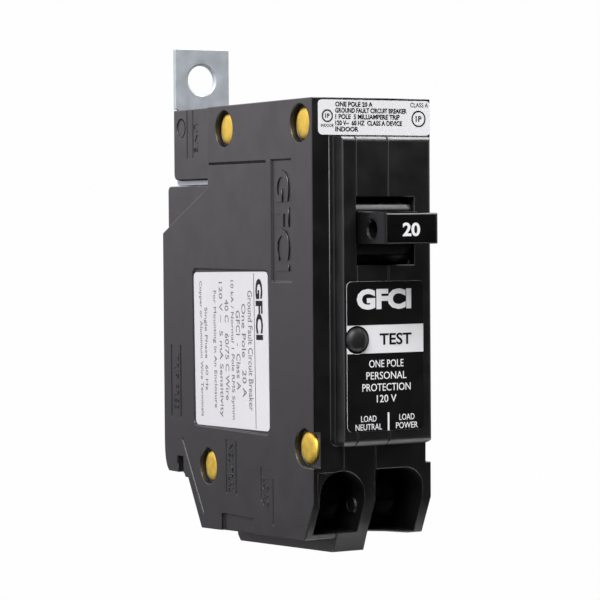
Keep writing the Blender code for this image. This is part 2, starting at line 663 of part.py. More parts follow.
def clear_scene():
    for piece in list(bpy.data.objects):
        bpy.data.objects.remove(piece)


def main():
    clear_scene()
    breaker = bpy.data.objects.new("breaker", None)
    breaker.location = -MOUNT
    bpy.context.scene.collection.objects.link(breaker)

    plastic = material("black_thermoset", BLACK, 0.45, 0.0)
    handle_plastic = material("handle_plastic", (0.016, 0.016, 0.017), 0.35, 0.0)
    brass = material("brass_plated", (0.72, 0.50, 0.12), 0.32, 1.0)
    zinc = material("zinc_plated", (0.55, 0.56, 0.57), 0.38, 1.0)
    steel = material("steel", (0.42, 0.42, 0.43), 0.4, 1.0)
    dark_steel = material("dark_steel", (0.10, 0.10, 0.10), 0.5, 0.9)
    copper = material("copper", (0.72, 0.36, 0.20), 0.35, 1.0)
    silver = material("silver_alloy", (0.80, 0.79, 0.76), 0.3, 1.0)
    spring_steel = material("spring_steel", (0.50, 0.50, 0.50), 0.3, 1.0)
    bimetal = material("bimetal_strip", (0.50, 0.48, 0.44), 0.4, 1.0)
    braid = material("copper_braid", (0.66, 0.35, 0.21), 0.55, 1.0)
    fibre = material("fibre_sheet", (0.30, 0.17, 0.12), 0.8, 0.0)
    board = material("board_laminate", (0.05, 0.22, 0.09), 0.5, 0.0)
    core = material("wound_core", (0.35, 0.13, 0.05), 0.5, 0.0)
    dark = material("component_resin", (0.03, 0.03, 0.035), 0.5, 0.0)
    white = material("white_insulation", (0.80, 0.80, 0.78), 0.5, 0.0)
    paper = material("label_film", (0.82, 0.82, 0.84), 0.4, 0.0)
    button_plastic = material("button_plastic", (0.018, 0.018, 0.019), 0.4, 0.0)

    build_left_housing(plastic)
    build_middle_housing(plastic)
    build_right_housing(plastic)
    build_rivets(brass)
    build_handle(handle_plastic, steel)
    build_line_side(zinc, copper, silver)
    build_mechanism(steel, copper, silver, spring_steel, bimetal, braid)
    build_arc_chute(steel, fibre)
    build_terminal("load", LOAD_X, zinc, dark_steel)
    build_terminal("neutral", NEUTRAL_X, zinc, dark_steel)
    build_electronics(board, core, copper, steel, dark, white, spring_steel)
    build_test_button(button_plastic, spring_steel, copper)
    build_labels(paper)


main()
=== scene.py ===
"""Looks of the one-pole ground-fault circuit breaker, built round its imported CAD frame.

Sizes are in millimetres in the case's own axes: X is 0 on the centre line of the pole, Y is 0 on
the front shoulder, Z is 0 on the top. CASE, worked out from the frame, is where that point stands
in the frame's metres.
"""

import math

import bmesh
import bpy
from mathutils import Matrix, Vector


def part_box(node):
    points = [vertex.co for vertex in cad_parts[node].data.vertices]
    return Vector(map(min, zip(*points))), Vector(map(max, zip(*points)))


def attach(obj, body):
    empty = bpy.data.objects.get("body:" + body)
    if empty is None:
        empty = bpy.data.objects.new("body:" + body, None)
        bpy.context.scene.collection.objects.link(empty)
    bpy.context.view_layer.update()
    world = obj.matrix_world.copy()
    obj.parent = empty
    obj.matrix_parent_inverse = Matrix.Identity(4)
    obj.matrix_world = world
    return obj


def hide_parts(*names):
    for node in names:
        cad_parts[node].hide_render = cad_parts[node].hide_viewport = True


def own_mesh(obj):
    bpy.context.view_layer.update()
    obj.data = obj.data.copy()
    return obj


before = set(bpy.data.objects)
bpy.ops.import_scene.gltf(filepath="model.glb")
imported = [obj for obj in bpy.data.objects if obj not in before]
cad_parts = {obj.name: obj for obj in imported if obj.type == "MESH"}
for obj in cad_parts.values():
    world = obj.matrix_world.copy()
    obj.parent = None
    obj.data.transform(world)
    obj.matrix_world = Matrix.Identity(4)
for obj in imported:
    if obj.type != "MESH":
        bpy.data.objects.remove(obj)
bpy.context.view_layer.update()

MM = 0.001

# The case, from the frame
left_low, left_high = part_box("left_housing")
HALF = 12.7
DEPTH = 60.5
TOP_RISE = 0.2
CASE = Vector((left_low.x + HALF * MM, left_high.y - DEPTH * MM, left_high.z - TOP_RISE * MM))
RIGHT_FACE = (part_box("right_housing")[1].x - CASE.x) / MM

WALL = 2.0

# The side plates stand proud of the body of the case, whose own side faces are at this X
LEVEL = HALF - 1.3

# The seams between the shells, and half the gap at each
SEAM_LEFT = -6.3
SEAM_RIGHT = 0.35
SEAM = 0.05

# The outline of the case, as (y, z) where there are two numbers
BLOCK_REAR = 57.75
STEP_Y = 40.8
SLIT = (-13.75, -14.95)
FOOT_Z = -71.4
BOTTOM_REAR = (44.6, -81.4)
BOTTOM_FRONT = (3.6, -79.6)
CHIN = (0.3, -72.8)
SPUR_REAR = (40.5, -83.9)
SPUR_FRONT = (4.7, -82.3)

# The rounding of the moulded edges, and that of the frame's own pieces
EDGE = 0.2
FRAME_EDGE = 0.08

# Raised nose
NOSE_LEFT = -9.1
NOSE_RIGHT = 9.5
NOSE_FRONT = (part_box("middle_housing")[0].y - CASE.y) / MM
NOSE_TOP = -6.8
NOSE_BOTTOM = -62.4
NOSE_WALL = 1.7
NOSE_BASE = 3.0
NOSE_LEFT_ROUND = 0.4
NOSE_RIGHT_ROUND = 0.9
NOSE_TOP_ROUND = 1.15
NOSE_BOTTOM_ROUND = 1.7
NOSE_LOWER_CORNER = 1.2
NOSE_UPPER_CORNER = 0.5
NOSE_GROOVE = (-2.2, -1.2)
NOSE_GROOVE_DEPTH = 0.2

# The window of the handle, as left, right, bottom and top
WINDOW = (-6.25, 5.8, -29.9, -17.7)

# Handle
HANDLE_AXIS = (5.0, -23.6)
HUB_RADIUS = 9.7
HANDLE_LEFT = -5.95
HUB_RIGHT = 5.45
LEVER_RIGHT = 5.25
LEVER_FRONT = -14.2
LEVER_TOP = -20.6
LEVER_BOTTOM = -26.1
LEVER_HOLE = (-9.4, -23.5, 1.55)
LEVER_CORNER = 0.7

# The rounding of the lever's front edges, at its left, its right, and its top and bottom
LEVER_ROUNDS = (0.8, 1.2, 0.6)

# The hollow that the handle turns in, as top, bottom and rear
BAY = (-10.0, -37.2, 15.5)

# Rivets, as (y, z)
RIVETS = ((33.9, -4.4), (4.5, -4.3), (41.5, -69.1), (3.6, -62.8))
RIVET_HOLE = 3.45
RIVET_HEAD = 2.95
RIVET_SHANK = 1.5
LEFT_COUNTERBORE = 1.4
RIGHT_COUNTERBORE = 1.1

# Terminal pockets
POCKET_DEPTH = 14.5
POCKET_FLOOR = -78.6
POCKET_TOP = -67.1
LEFT_POCKET = (-11.2, -2.05)
RIGHT_POCKET = (-0.5, 10.3)

# Line terminal
TAB = (-11.2, 0.75)
SHANK = (-10.5, 0.0)
TAB_FOOT = 0.25
TAB_TOP = 12.2
TAB_HOLE = (-5.35, 6.15, 2.9)
STRAP = (57.2, 58.2)

# Terminal screws, by their place along X
NEUTRAL_X = -6.45
LOAD_X = 5.6
SCREW_AXIS_Z = -73.3
SCREW_CLEARANCE = 2.0

# Test button
BUTTON = (-6.4, -43.2)
BUTTON_RADIUS = 2.25
BUTTON_WELL = 2.4

# Return springs along Y: node, (x, z), coil radius, front, rear, turns, joint, and the share of
# the length that is left at the joint's limit
SPRINGS = (
    ("plunger_spring", (-6.2, -55.0), 1.45, 16.4, 21.2, 5, "plunger_slide", 0.74),
    ("test_spring", BUTTON, 1.55, 3.9, 7.4, 4, "test_button_slide", 0.68),
)
SPRING_WIRE = 0.2

# Labels
SIDE_LABEL_Y = (17.1, 47.1)
SIDE_LABEL_Z = (-61.1, -31.5)
SIDE_LABEL_TILT = -1.1
LABEL_RECESS = 0.3
LABEL_MARGIN = 0.4
FRONT_LABEL_X = (-8.5, 7.5)
FRONT_LABEL_Z = (-59.7, -32.8)
TEST_BAND = (-45.7, -40.6)
FRONT_FILM = 0.07
FILM = 0.12
PRINT = 0.03

# Softboxes: name, direction from the case, width and height in metres, power in watts
LIGHT_DISTANCE = 1.0
LIGHTS = (
    ("left_strip", (-0.84, -0.5, 0.15), 0.3, 0.8, 1.8),
    ("right_strip", (0.98, -0.2, 0.05), 0.3, 0.8, 1.6),
    ("front", (-0.5, -0.45, 0.74), 0.5, 0.5, 13.5),
    ("drum", (0.514, -0.47, 0.75), 0.16, 0.4, 1.25),
    ("top", (0.514, 0.0, 0.858), 0.6, 0.5, 11.0),
    ("low", (0.49, -0.22, -0.84), 0.3, 0.45, 1.8),
)

# The room that lights the object: its level by direction along the ground, times its rise with height
ROOM_FACING = (-0.51, 0.86, 0.0)
ROOM_FACING_RANGE = (-0.35, 0.85)
ROOM_LEVEL = (0.025, 0.53)
ROOM_RISE_RANGE = (-0.15, 0.15)
ROOM_RISE = (0.28, 2.75)
ROOM_COLOUR = (1, 0.953, 1.024, 1)
SEEN_LEVEL = 0.99

# The photograph's viewpoint, in the case's millimetres and in degrees
CAMERA_PLACE = (-240.0, -401.08, -21.33)
CAMERA_TURN = (-29.24, 1.83, -0.42)
CAMERA_LENS = 154.8
CAMERA_SHIFT = (0.001, 0.0003)

# The pale floor, in metres: half its width, and its height
FLOOR_SIZE = 0.14
FLOOR_Z = -0.3


# Geometry helpers


def arc(centre, radius, start, end, steps):
    """Points on a circle's arc, from start to end in degrees."""
    points = []
    for step in range(steps + 1):
        angle = math.radians(start + (end - start) * step / steps)
        points.append((centre[0] + radius * math.cos(angle), centre[1] + radius * math.sin(angle)))
    return points


def circle(centre, radius, steps=48):
    return arc(centre, radius, 0, 360 * (steps - 1) / steps, steps - 1)


def placed(axis, across, along):
    """A point in the frame from its place across an axis, in X, Y, Z order, and along it."""
    first, second = across
    point = {
        "X": Vector((along, first, second)),
        "Y": Vector((first, along, second)),
        "Z": Vector((first, second, along)),
    }[axis]
    return CASE + point * MM


def at(x, y, z):
    return CASE + Vector((x, y, z)) * MM


def prism(axis, outline, low, high):
    """A closed prism of an outline between two places along an axis."""
    shape = bmesh.new()
    ends = []
    for along in (low, high):
        ends.append([shape.verts.new(placed(axis, point, along)) for point in outline])
    shape.faces.new(ends[0])
    shape.faces.new(ends[1])
    count = len(outline)
    for index in range(count):
        after = (index + 1) % count
        shape.faces.new((ends[0][index], ends[0][after], ends[1][after], ends[1][index]))
    bmesh.ops.recalc_face_normals(shape, faces=shape.faces)
    return shape


def box(x, y, z):
    return prism("X", [(y[0], z[0]), (y[1], z[0]), (y[1], z[1]), (y[0], z[1])], x[0], x[1])


def rod(axis, centre, radius, low, high, steps=48):
    return prism(axis, circle(centre, radius, steps), low, high)


def rounded_plate(axis, first, second, radius, low, high, steps=6):
    """A plate with rounded corners, from its (low, high) ranges across an axis."""
    outline = arc((first[1] - radius, second[1] - radius), radius, 0, 90, steps)
    outline += arc((first[0] + radius, second[1] - radius), radius, 90, 180, steps)
    outline += arc((first[0] + radius, second[0] + radius), radius, 180, 270, steps)
    outline += arc((first[1] - radius, second[0] + radius), radius, 270, 360, steps)
    return prism(axis, outline, low, high)


def widened(span, margin=LABEL_MARGIN):
    return (span[0] - margin, span[1] + margin)


def turned(axis, centre, profile, steps=64):
    """A solid of revolution. The profile lists (radius, place along the axis), tip to tip."""
    shape = bmesh.new()
    rings = []
    for radius, along in profile:
        if radius == 0:
            rings.append([shape.verts.new(placed(axis, centre, along))])
        else:
            rings.append([shape.verts.new(placed(axis, p, along)) for p in circle(centre, radius, steps)])
    for first, second in zip(rings, rings[1:]):
        for index in range(steps):
            after = (index + 1) % steps
            if len(first) == 1:
                shape.faces.new((first[0], second[index], second[after]))
            elif len(second) == 1:
                shape.faces.new((first[after], first[index], second[0]))
            else:
                shape.faces.new((first[index], second[index], second[after], first[after]))
    bmesh.ops.recalc_face_normals(shape, faces=shape.faces)
    return shape


def clipped(shape, low, high):
    """Keeps the part of a shape between two places along X."""
    for place, keep_below in ((low, False), (high, True)):
        result = bmesh.ops.bisect_plane(
            shape,
            geom=list(shape.verts) + list(shape.edges) + list(shape.faces),
            plane_co=at(place, 0, 0),
            plane_no=(1, 0, 0),
            clear_inner=not keep_below,
            clear_outer=keep_below,
        )
        edges = [item for item in result["geom_cut"] if isinstance(item, bmesh.types.BMEdge)]
        bmesh.ops.contextual_create(shape, geom=edges)
    bmesh.ops.recalc_face_normals(shape, faces=shape.faces)
    return shape


def new_object(name, shape):
    mesh = bpy.data.meshes.new(name)
    shape.to_mesh(mesh)
    shape.free()
    made = bpy.data.objects.new(name, mesh)
    bpy.context.scene.collection.objects.link(made)
    return made


def taken(piece):
    """The closed shape of a helper object, which is removed."""
    shape = bmesh.new()
    shape.from_mesh(piece.data)
    bpy.data.objects.remove(piece)
    return shape


def combine(piece, steps):
    """Applies Boolean steps, given as (operation, shape), to a piece in order."""
    tools = []
    for number, (operation, shape) in enumerate(steps):
        tool = new_object(f"{piece.name}_tool_{number}", shape)
        tool.hide_render = True
        tools.append(tool)
        boolean = piece.modifiers.new(str(number), "BOOLEAN")
        boolean.operation = operation
        boolean.solver = "EXACT"
        boolean.object = tool
    graph = bpy.context.evaluated_depsgraph_get()
    mesh = bpy.data.meshes.new_from_object(piece.evaluated_get(graph))
    piece.modifiers.clear()
    piece.data = mesh
    for tool in tools:
        bpy.data.objects.remove(tool)
    shape = bmesh.new()
    shape.from_mesh(mesh)
    bmesh.ops.remove_doubles(shape, verts=shape.verts, dist=0.002 * MM)
    bmesh.ops.dissolve_limit(
        shape, angle_limit=math.radians(0.5), verts=shape.verts, edges=shape.edges
    )
    shape.to_mesh(mesh)
    shape.free()
    return piece


def cuts(*shapes):
    return [("DIFFERENCE", shape) for shape in shapes]


def joins(*shapes):
    return [("UNION", shape) for shape in shapes]


def soften(piece, width, weight=None, segments=3, sharp=30):
    """Rounds the sharp edges. weight gives the share of the width for an edge, from its middle."""
    mesh = piece.data
    shape = bmesh.new()
    shape.from_mesh(mesh)
    layer = shape.edges.layers.float.new("bevel_weight_edge")
    limit = math.radians(sharp)
    for edge in shape.edges:
        if len(edge.link_faces) == 2 and edge.calc_face_angle(0) > limit:
            middle = ((edge.verts[0].co + edge.verts[1].co) / 2 - CASE) / MM
            edge[layer] = 1.0 if weight is None else weight(middle, edge)
    shape.to_mesh(mesh)
    shape.free()
    bevel = piece.modifiers.new("rounded_edges", "BEVEL")
    bevel.width = width * MM
    bevel.segments = segments
    bevel.limit_method = "WEIGHT"
    bevel.use_clamp_overlap = False
    bevel.harden_normals = True
    mesh.shade_smooth()
    mesh.set_sharp_from_angle(angle=math.radians(40))
    return piece


# Outlines in the (y, z) plane


def lower_edge():
    """The foot, its rail slot, the slanted rear and the underside, from the rear face to the chin."""
    return [
        (DEPTH, -65.5), (60.4, -67.6), (60.1, -69.2), (59.5, -70.6), (58.7, FOOT_Z),
        (54.8, FOOT_Z), (54.8, -68.1), (52.3, -68.1), (52.3, FOOT_Z),
        (51.9, FOOT_Z), (51.5, -72.1), (50.3, -72.1), BOTTOM_REAR, BOTTOM_FRONT, CHIN,
    ]


def plate_outline():
    return [(0, TOP_RISE), (STEP_Y, 0), (STEP_Y, -15.3), (DEPTH, -24.2)] + lower_edge()


def body_outline():
    block = [(0, TOP_RISE), (STEP_Y, 0), (BLOCK_REAR, 0)]
    block += arc((BLOCK_REAR - 1.2, SLIT[0] + 1.2), 1.2, 0, -90, 6)
    slit = [(38.5, SLIT[0]), (38.5, SLIT[1])]
    ledge = arc((DEPTH - 1.0, SLIT[1] - 1.0), 1.0, 90, 0, 6)
    return block + slit + ledge + lower_edge()


def spur_outline():
    return [
        (16.0, -80.0),
        (41.9, -80.0),
        (41.6, -82.8),
        SPUR_REAR,
        SPUR_FRONT,
        (BOTTOM_FRONT[0] - 0.05, BOTTOM_FRONT[1] + 0.1),
    ]


def chamber_outline():
    return [
        (WALL, -WALL), (38.7, -WALL), (38.7, -17.0), (58.3, -17.0),
        (58.3, -66.0), (56.6, -66.6), (49.2, -67.2), (43.0, -78.4),
        (POCKET_DEPTH + WALL, -77.6),
        (POCKET_DEPTH + WALL, POCKET_TOP + WALL),
        (WALL, POCKET_TOP + WALL),
    ]


def middle_chamber_outline():
    chamber = chamber_outline()
    bay_bottom = BAY[1] - 1.8
    return [(BAY[2] + 1.5, -WALL)] + chamber[1:] + [(WALL, bay_bottom), (BAY[2] + 1.5, bay_bottom)]


def nose_plan(low, high):
    """The nose seen from above, as (x, y)."""
    left, right = NOSE_LEFT_ROUND, NOSE_RIGHT_ROUND
    plan = [(low, NOSE_BASE)]
    if low <= NOSE_LEFT:
        plan += arc((low + left, NOSE_FRONT + left), left, 180, 270, 5)
    else:
        plan += [(low, NOSE_FRONT)]
    if high >= NOSE_RIGHT:
        plan += arc((high - right, NOSE_FRONT + right), right, -90, 0, 8)
    else:
        plan += [(high, NOSE_FRONT)]
    return plan + [(high, NOSE_BASE)]


def nose_side():
    """The nose seen from the side, as (y, z)."""
    top, bottom = NOSE_TOP_ROUND, NOSE_BOTTOM_ROUND
    side = [(NOSE_BASE + 1, NOSE_TOP)]
    side += arc((NOSE_FRONT + top, NOSE_TOP - top), top, 90, 180, 8)
    side += arc((NOSE_FRONT + bottom, NOSE_BOTTOM + bottom), bottom, 180, 270, 10)
    return side + [(NOSE_BASE + 1, NOSE_BOTTOM)]


def nose_face(low, high):
    """The nose of the left or the right shell seen from the front, as (x, z)."""
    lower, upper = NOSE_LOWER_CORNER, NOSE_UPPER_CORNER
    if low <= NOSE_LEFT:
        face = arc((low + lower, NOSE_BOTTOM + lower), lower, 180, 270, 8)
        return face + [(high + 1, NOSE_BOTTOM), (high + 1, NOSE_TOP + 1), (low, NOSE_TOP + 1)]
    face = [(low - 1, NOSE_BOTTOM)]
    face += arc((high - lower, NOSE_BOTTOM + lower), lower, -90, 0, 8)
    face += arc((high - upper, NOSE_TOP - upper), upper, 0, 90, 5)
    return face + [(low - 1, NOSE_TOP)]


def nose(low, high):
    """The nose between two places along X, rounded where those are its own sides."""
    piece = new_object("nose_tool", prism("Z", nose_plan(low, high), NOSE_BOTTOM - 1, NOSE_TOP + 1))
    combine(piece, [("INTERSECT", prism("X", nose_side(), -HALF - 1, HALF + 1))])
    if low <= NOSE_LEFT or high >= NOSE_RIGHT:
        combine(piece, [("INTERSECT", prism("Y", nose_face(low, high), NOSE_FRONT - 1, NOSE_BASE + 1))])
    return taken(piece)


def left_pocket(low, high):
    left, right = LEFT_POCKET
    radius = (right - left) / 2
    outline = [(left, POCKET_FLOOR)]
    outline += arc((left + radius, POCKET_TOP - radius), radius, 180, 0, 24)
    outline += [(right, POCKET_FLOOR)]
    return clipped(prism("Y", outline, -1.0, POCKET_DEPTH), low, high)


def right_pocket():
    """The pocket of the load screw, open to the seam, with a sloping floor."""
    left, right = RIGHT_POCKET
    radius = 3.6
    outline = [(left, -78.3), (left, POCKET_TOP)]
    outline += arc((right - radius, POCKET_TOP - radius), radius, 90, 0, 16)
    outline += [(right, -79.2)]
    return prism("Y", outline, -1.0, POCKET_DEPTH)


def screw_clearance(x):
    """The hole behind a terminal into which its screw advances."""
    return rod("Y", (x, SCREW_AXIS_Z), SCREW_CLEARANCE, POCKET_DEPTH - 0.5, POCKET_DEPTH + WALL + 0.5, 24)


def rivet_bosses(low, high):
    return [rod("X", centre, RIVET_HEAD + 0.1, low, high, 32) for centre in RIVETS]


def rivet_holes(low, high):
    return [rod("X", centre, RIVET_SHANK + 0.15, low, high, 24) for centre in RIVETS]


def counterbores(low, high):
    """The recess of each rivet head, with the slot by which the lowest one breaks the front edge."""
    shapes = [rod("X", centre, RIVET_HOLE, low, high) for centre in RIVETS]
    shapes.append(box((low, high), (-1.0, RIVETS[3][0]), (-66.3, -60.0)))
    return shapes


def shank_recess(low, high):
    """The groove in the rear of the terminal block that the strap's shank stands in."""
    place = sorted((max(low, SHANK[0] - 0.3), min(high, SHANK[1] + 0.3)))
    return box(place, (STRAP[0] - 0.2, BLOCK_REAR + 1.0), (SLIT[1], 1.0))


def groove(surface, y, z, depth=0.3, width=0.35):
    """A narrow upright groove in a side face, from z[0] down to z[1]."""
    side = math.copysign(1, surface)
    low, high = sorted((surface + side, surface - side * depth))
    return box((low, high), (y - width / 2, y + width / 2), (z[1], z[0]))


def inclined_groove(surface, start, end, depth=0.25, width=0.5):
    """A narrow groove in a side face between two (y, z) points."""
    side = math.copysign(1, surface)
    low, high = sorted((surface + side, surface - side * depth))
    along = Vector(end) - Vector(start)
    across = Vector((-along.y, along.x)).normalized() * width / 2
    outline = [Vector(start) - across, Vector(end) - across, Vector(end) + across, Vector(start) + across]
    return prism("X", [tuple(point) for point in outline], low, high)


def side_details(surface, level):
    """The shallow moulded features that both side faces share."""
    side = math.copysign(1, surface)
    low, high = sorted((surface + side, surface - side * 0.35))
    notch = sorted((surface + side, surface - side * 0.6))
    ejector = sorted((level + side, level - side * 0.14))
    return [
        box((low, high), (7.9, 15.5), (-33.0, -10.7)),
        box(notch, (23.4, 36.2), (-83.0, -77.7)),
        rod("X", (54.6, -3.6), 1.8, *ejector),
        groove(level, 51.9, (1.0, -9.6)),
        groove(level, 49.4, (1.0, -9.6)),
        groove(surface, 34.0, (-63.6, -73.7)),
        groove(surface, 30.0, (-63.6, -73.7)),
        groove(surface, 20.1, (-67.8, -73.8)),
        groove(surface, 15.5, (-69.6, -77.9)),
        groove(surface, 57.0, (-46.4, -60.5), 0.2),
        groove(surface, 53.0, (-46.4, -60.5), 0.2),
        box(sorted((surface + side, surface - side * 0.14)), (17.6, 40.2), (-11.05, -10.8)),
        inclined_groove(surface, (52.6, -64.6), (43.6, -78.4)),
    ]


def outside(middle):
    """True for a point on the outer surface of the case, false inside its hollow."""
    inner_x = abs(middle.x) < HALF - WALL + 0.05
    inner_y = NOSE_FRONT + NOSE_WALL - 0.05 < middle.y < DEPTH - WALL + 0.05
    pocket = middle.z < POCKET_TOP + 0.5 and middle.y < POCKET_DEPTH - 0.2
    front = middle.y < 0.3
    return not (inner_x and inner_y) or pocket or front


def on_nose_corner(middle):
    """True on the rounded ends of the nose, whose short facets leave no room for a bevel."""
    aside = middle.x < NOSE_LEFT + 1.4 or middle.x > NOSE_RIGHT - 1.4
    return aside and middle.y < -0.2 and not NOSE_BOTTOM + 1.9 < middle.z < NOSE_TOP - 1.4


def shell_weight(middle, edge):
    if not outside(middle) or on_nose_corner(middle):
        return 0.0
    # The wall left of the button's well is thinner than two bevels
    if middle.y < 0 and math.hypot(middle.x - BUTTON[0], middle.z - BUTTON[1]) < BUTTON_WELL + 0.05:
        return 0.0
    # The groove in the nose's left side is shallower than that
    in_groove = NOSE_GROOVE[0] - 0.1 < middle.y < NOSE_GROOVE[1] + 0.1
    if in_groove and abs(middle.x - NOSE_LEFT - NOSE_GROOVE_DEPTH / 2) < 0.15:
        return 0.4
    if edge.calc_length() < 0.12 * MM:
        return 0.5
    return 1.0


def finish_shell(piece, node, finish):
    soften(piece, EDGE, shell_weight)
    piece.data.materials.clear()
    piece.data.materials.append(finish)
    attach(piece, "case")
    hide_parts(node)


def build_left_shell(finish):
    inner = SEAM_LEFT - SEAM
    piece = new_object("left_shell", prism("X", body_outline(), -LEVEL, inner))
    steps = joins(prism("X", plate_outline(), -HALF, -LEVEL + 0.2), nose(NOSE_LEFT, inner))
    steps += cuts(
        prism("X", chamber_outline(), -HALF + WALL, inner + 0.5),
        box((NOSE_LEFT + 1.5, inner + 0.5), (NOSE_FRONT + NOSE_WALL, 2.5), (-60.0, -9.0)),
    )
    steps += joins(*rivet_bosses(-HALF + WALL - 0.2, inner))
    steps += joins(box((inner - 0.85, inner), (NOSE_FRONT + 1.0, BAY[2]), (BAY[1], BAY[0] + 1.5)))
    steps += cuts(
        left_pocket(-HALF, inner + 0.5),
        box((-11.65, inner + 0.5), (-1.0, 0.5), (POCKET_FLOOR, -67.3)),
        rod("X", HANDLE_AXIS, 1.1, inner - 0.6, inner + 0.5, 24),
        shank_recess(-HALF, inner + 0.5),
        box((-8.7, inner + 0.5), (POCKET_DEPTH - 0.5, POCKET_DEPTH + 2.5), (-69.7, -68.3)),
        clipped(screw_clearance(NEUTRAL_X), -HALF, inner + 0.5),
        rod("Y", BUTTON, BUTTON_WELL, NOSE_FRONT - 1, WALL + 0.3),
        *counterbores(-HALF - 1, -HALF + LEFT_COUNTERBORE),
        *rivet_holes(-HALF - 1, inner + 1),
        *side_details(-HALF, -LEVEL),
        box((NOSE_LEFT - 1, NOSE_LEFT + NOSE_GROOVE_DEPTH), NOSE_GROOVE, (NOSE_BOTTOM - 1, NOSE_TOP + 1)),
        rounded_plate(
            "X", widened(SIDE_LABEL_Y), widened(SIDE_LABEL_Z), 1.2, -HALF - 1, -HALF + LABEL_RECESS
        ),
    )
    combine(piece, steps)
    finish_shell(piece, "left_housing", finish)


def build_middle_shell(finish):
    left = SEAM_LEFT + SEAM
    right = SEAM_RIGHT - SEAM
    piece = new_object("middle_shell", prism("X", body_outline(), left, right))
    steps = joins(nose(left, right), prism("X", spur_outline(), left, right))
    steps += cuts(
        prism("X", middle_chamber_outline(), left - 0.5, -1.3),
        box((left - 0.5, right + 0.5), (NOSE_FRONT + NOSE_WALL, BAY[2]), (BAY[1], BAY[0])),
        box((left - 0.5, -1.3), (NOSE_FRONT + NOSE_WALL, 2.5), (-60.0, BAY[1] - 1.8)),
    )
    steps += joins(*rivet_bosses(left, -1.2))
    steps += joins(box((left, -2.9), (7.7, 8.4), (-47.5, BAY[1] - 1.0)))
    steps += cuts(
        box((WINDOW[0], right + 0.5), (NOSE_FRONT - 1, NOSE_FRONT + 2), (WINDOW[2], WINDOW[3])),
        left_pocket(left - 0.5, LEFT_POCKET[1]),
        box((left - 0.5, -4.2), (POCKET_DEPTH - 0.5, POCKET_DEPTH + 2.5), (-69.7, -68.3)),
        clipped(screw_clearance(NEUTRAL_X), left - 0.5, 0),
        rod("Y", BUTTON, BUTTON_WELL, NOSE_FRONT - 1, WALL + 0.3),
        rod("Y", BUTTON, 1.1, 7, 9, 24),
        shank_recess(left - 0.5, right + 0.5),
        box((-1.5, right + 0.5), (31.0, 38.6), (-16.3, -13.7)),
        box((-1.5, right + 0.5), (14.6, 18.2), (-56.0, -54.0)),
        *rivet_holes(left - 1, right + 1),
    )
    # The moulded ring in the side wall of the left pocket
    ring = [(0, -2.4), (1.7, -2.4), (1.7, -1.5), (0, -1.5)]
    dimple = [(0, -3.0), (1.3, -3.0), (1.3, -2.25), (0, -2.25)]
    steps += joins(turned("X", (4.9, -73.9), ring, 40))
    steps += cuts(turned("X", (4.9, -73.9), dimple, 40))
    combine(piece, steps)
    finish_shell(piece, "middle_housing", finish)


def build_right_shell(finish):
    inner = SEAM_RIGHT + SEAM
    piece = new_object("right_shell", prism("X", body_outline(), inner, LEVEL))
    steps = joins(prism("X", plate_outline(), LEVEL - 0.2, RIGHT_FACE), nose(inner, NOSE_RIGHT))
    steps += cuts(
        prism("X", chamber_outline(), inner - 0.5, HALF - WALL),
        box((inner - 0.5, NOSE_RIGHT - 1.9), (NOSE_FRONT + NOSE_WALL, 2.5), (-60.0, -9.0)),
    )
    steps += joins(
        *rivet_bosses(inner, HALF - WALL + 0.2),
        box((5.6, 6.2), (NOSE_FRONT + 1.0, BAY[2]), (BAY[1], BAY[0] + 1.2)),
        box((4.0, HALF - WALL + 0.2), (11.4, 12.5), (-60.2, -56.8)),
    )
    steps += cuts(
        box((inner - 0.5, WINDOW[1]), (NOSE_FRONT - 1, NOSE_FRONT + 2), (WINDOW[2], WINDOW[3])),
        right_pocket(),
        prism("Y", [(0.2, -78.7), (4.0, -79.0), (9.4, -79.65), (9.4, -85.0), (0.2, -85.0)], -1.0, 14.0),
        box((2.8, 8.2), (POCKET_DEPTH - 0.5, POCKET_DEPTH + 2.5), (-69.7, -68.3)),
        screw_clearance(LOAD_X),
        rod("X", HANDLE_AXIS, 1.1, 5.0, 7.0, 24),
        *counterbores(RIGHT_FACE - RIGHT_COUNTERBORE, RIGHT_FACE + 1),
        *rivet_holes(inner - 1, HALF + 1),
        *side_details(RIGHT_FACE, LEVEL),
    )
    combine(piece, steps)
    finish_shell(piece, "right_housing", finish)


# Other shaped pieces


def add_piece(name, shape, finish, body):
    piece = new_object(name, shape)
    piece.data.materials.append(finish)
    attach(piece, body)
    return piece


def build_rivets(finish):
    """Flat formed heads, a little domed at the rim, in the counterbores."""
    left = -HALF + LEFT_COUNTERBORE - 0.05
    right = RIGHT_FACE - RIGHT_COUNTERBORE + 0.05
    for number, centre in enumerate(RIVETS, 1):
        profile = [(0, left - 0.64), (1.6, left - 0.63), (2.3, left - 0.58), (2.65, left - 0.46)]
        profile += [(2.87, left - 0.28), (RIVET_HEAD, left - 0.1), (RIVET_HEAD, left)]
        profile += [(RIVET_SHANK, left), (RIVET_SHANK, right), (RIVET_HEAD, right)]
        profile += [(RIVET_HEAD, right + 0.12), (2.7, right + 0.3), (2.0, right + 0.38), (0, right + 0.4)]
        head = turned("X", centre, profile)
        piece = add_piece(f"rivet_{number}_turned", head, finish, "case")
        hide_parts(f"rivet_{number}")
        piece.data.shade_smooth()
        piece.data.set_sharp_from_angle(angle=math.radians(50))


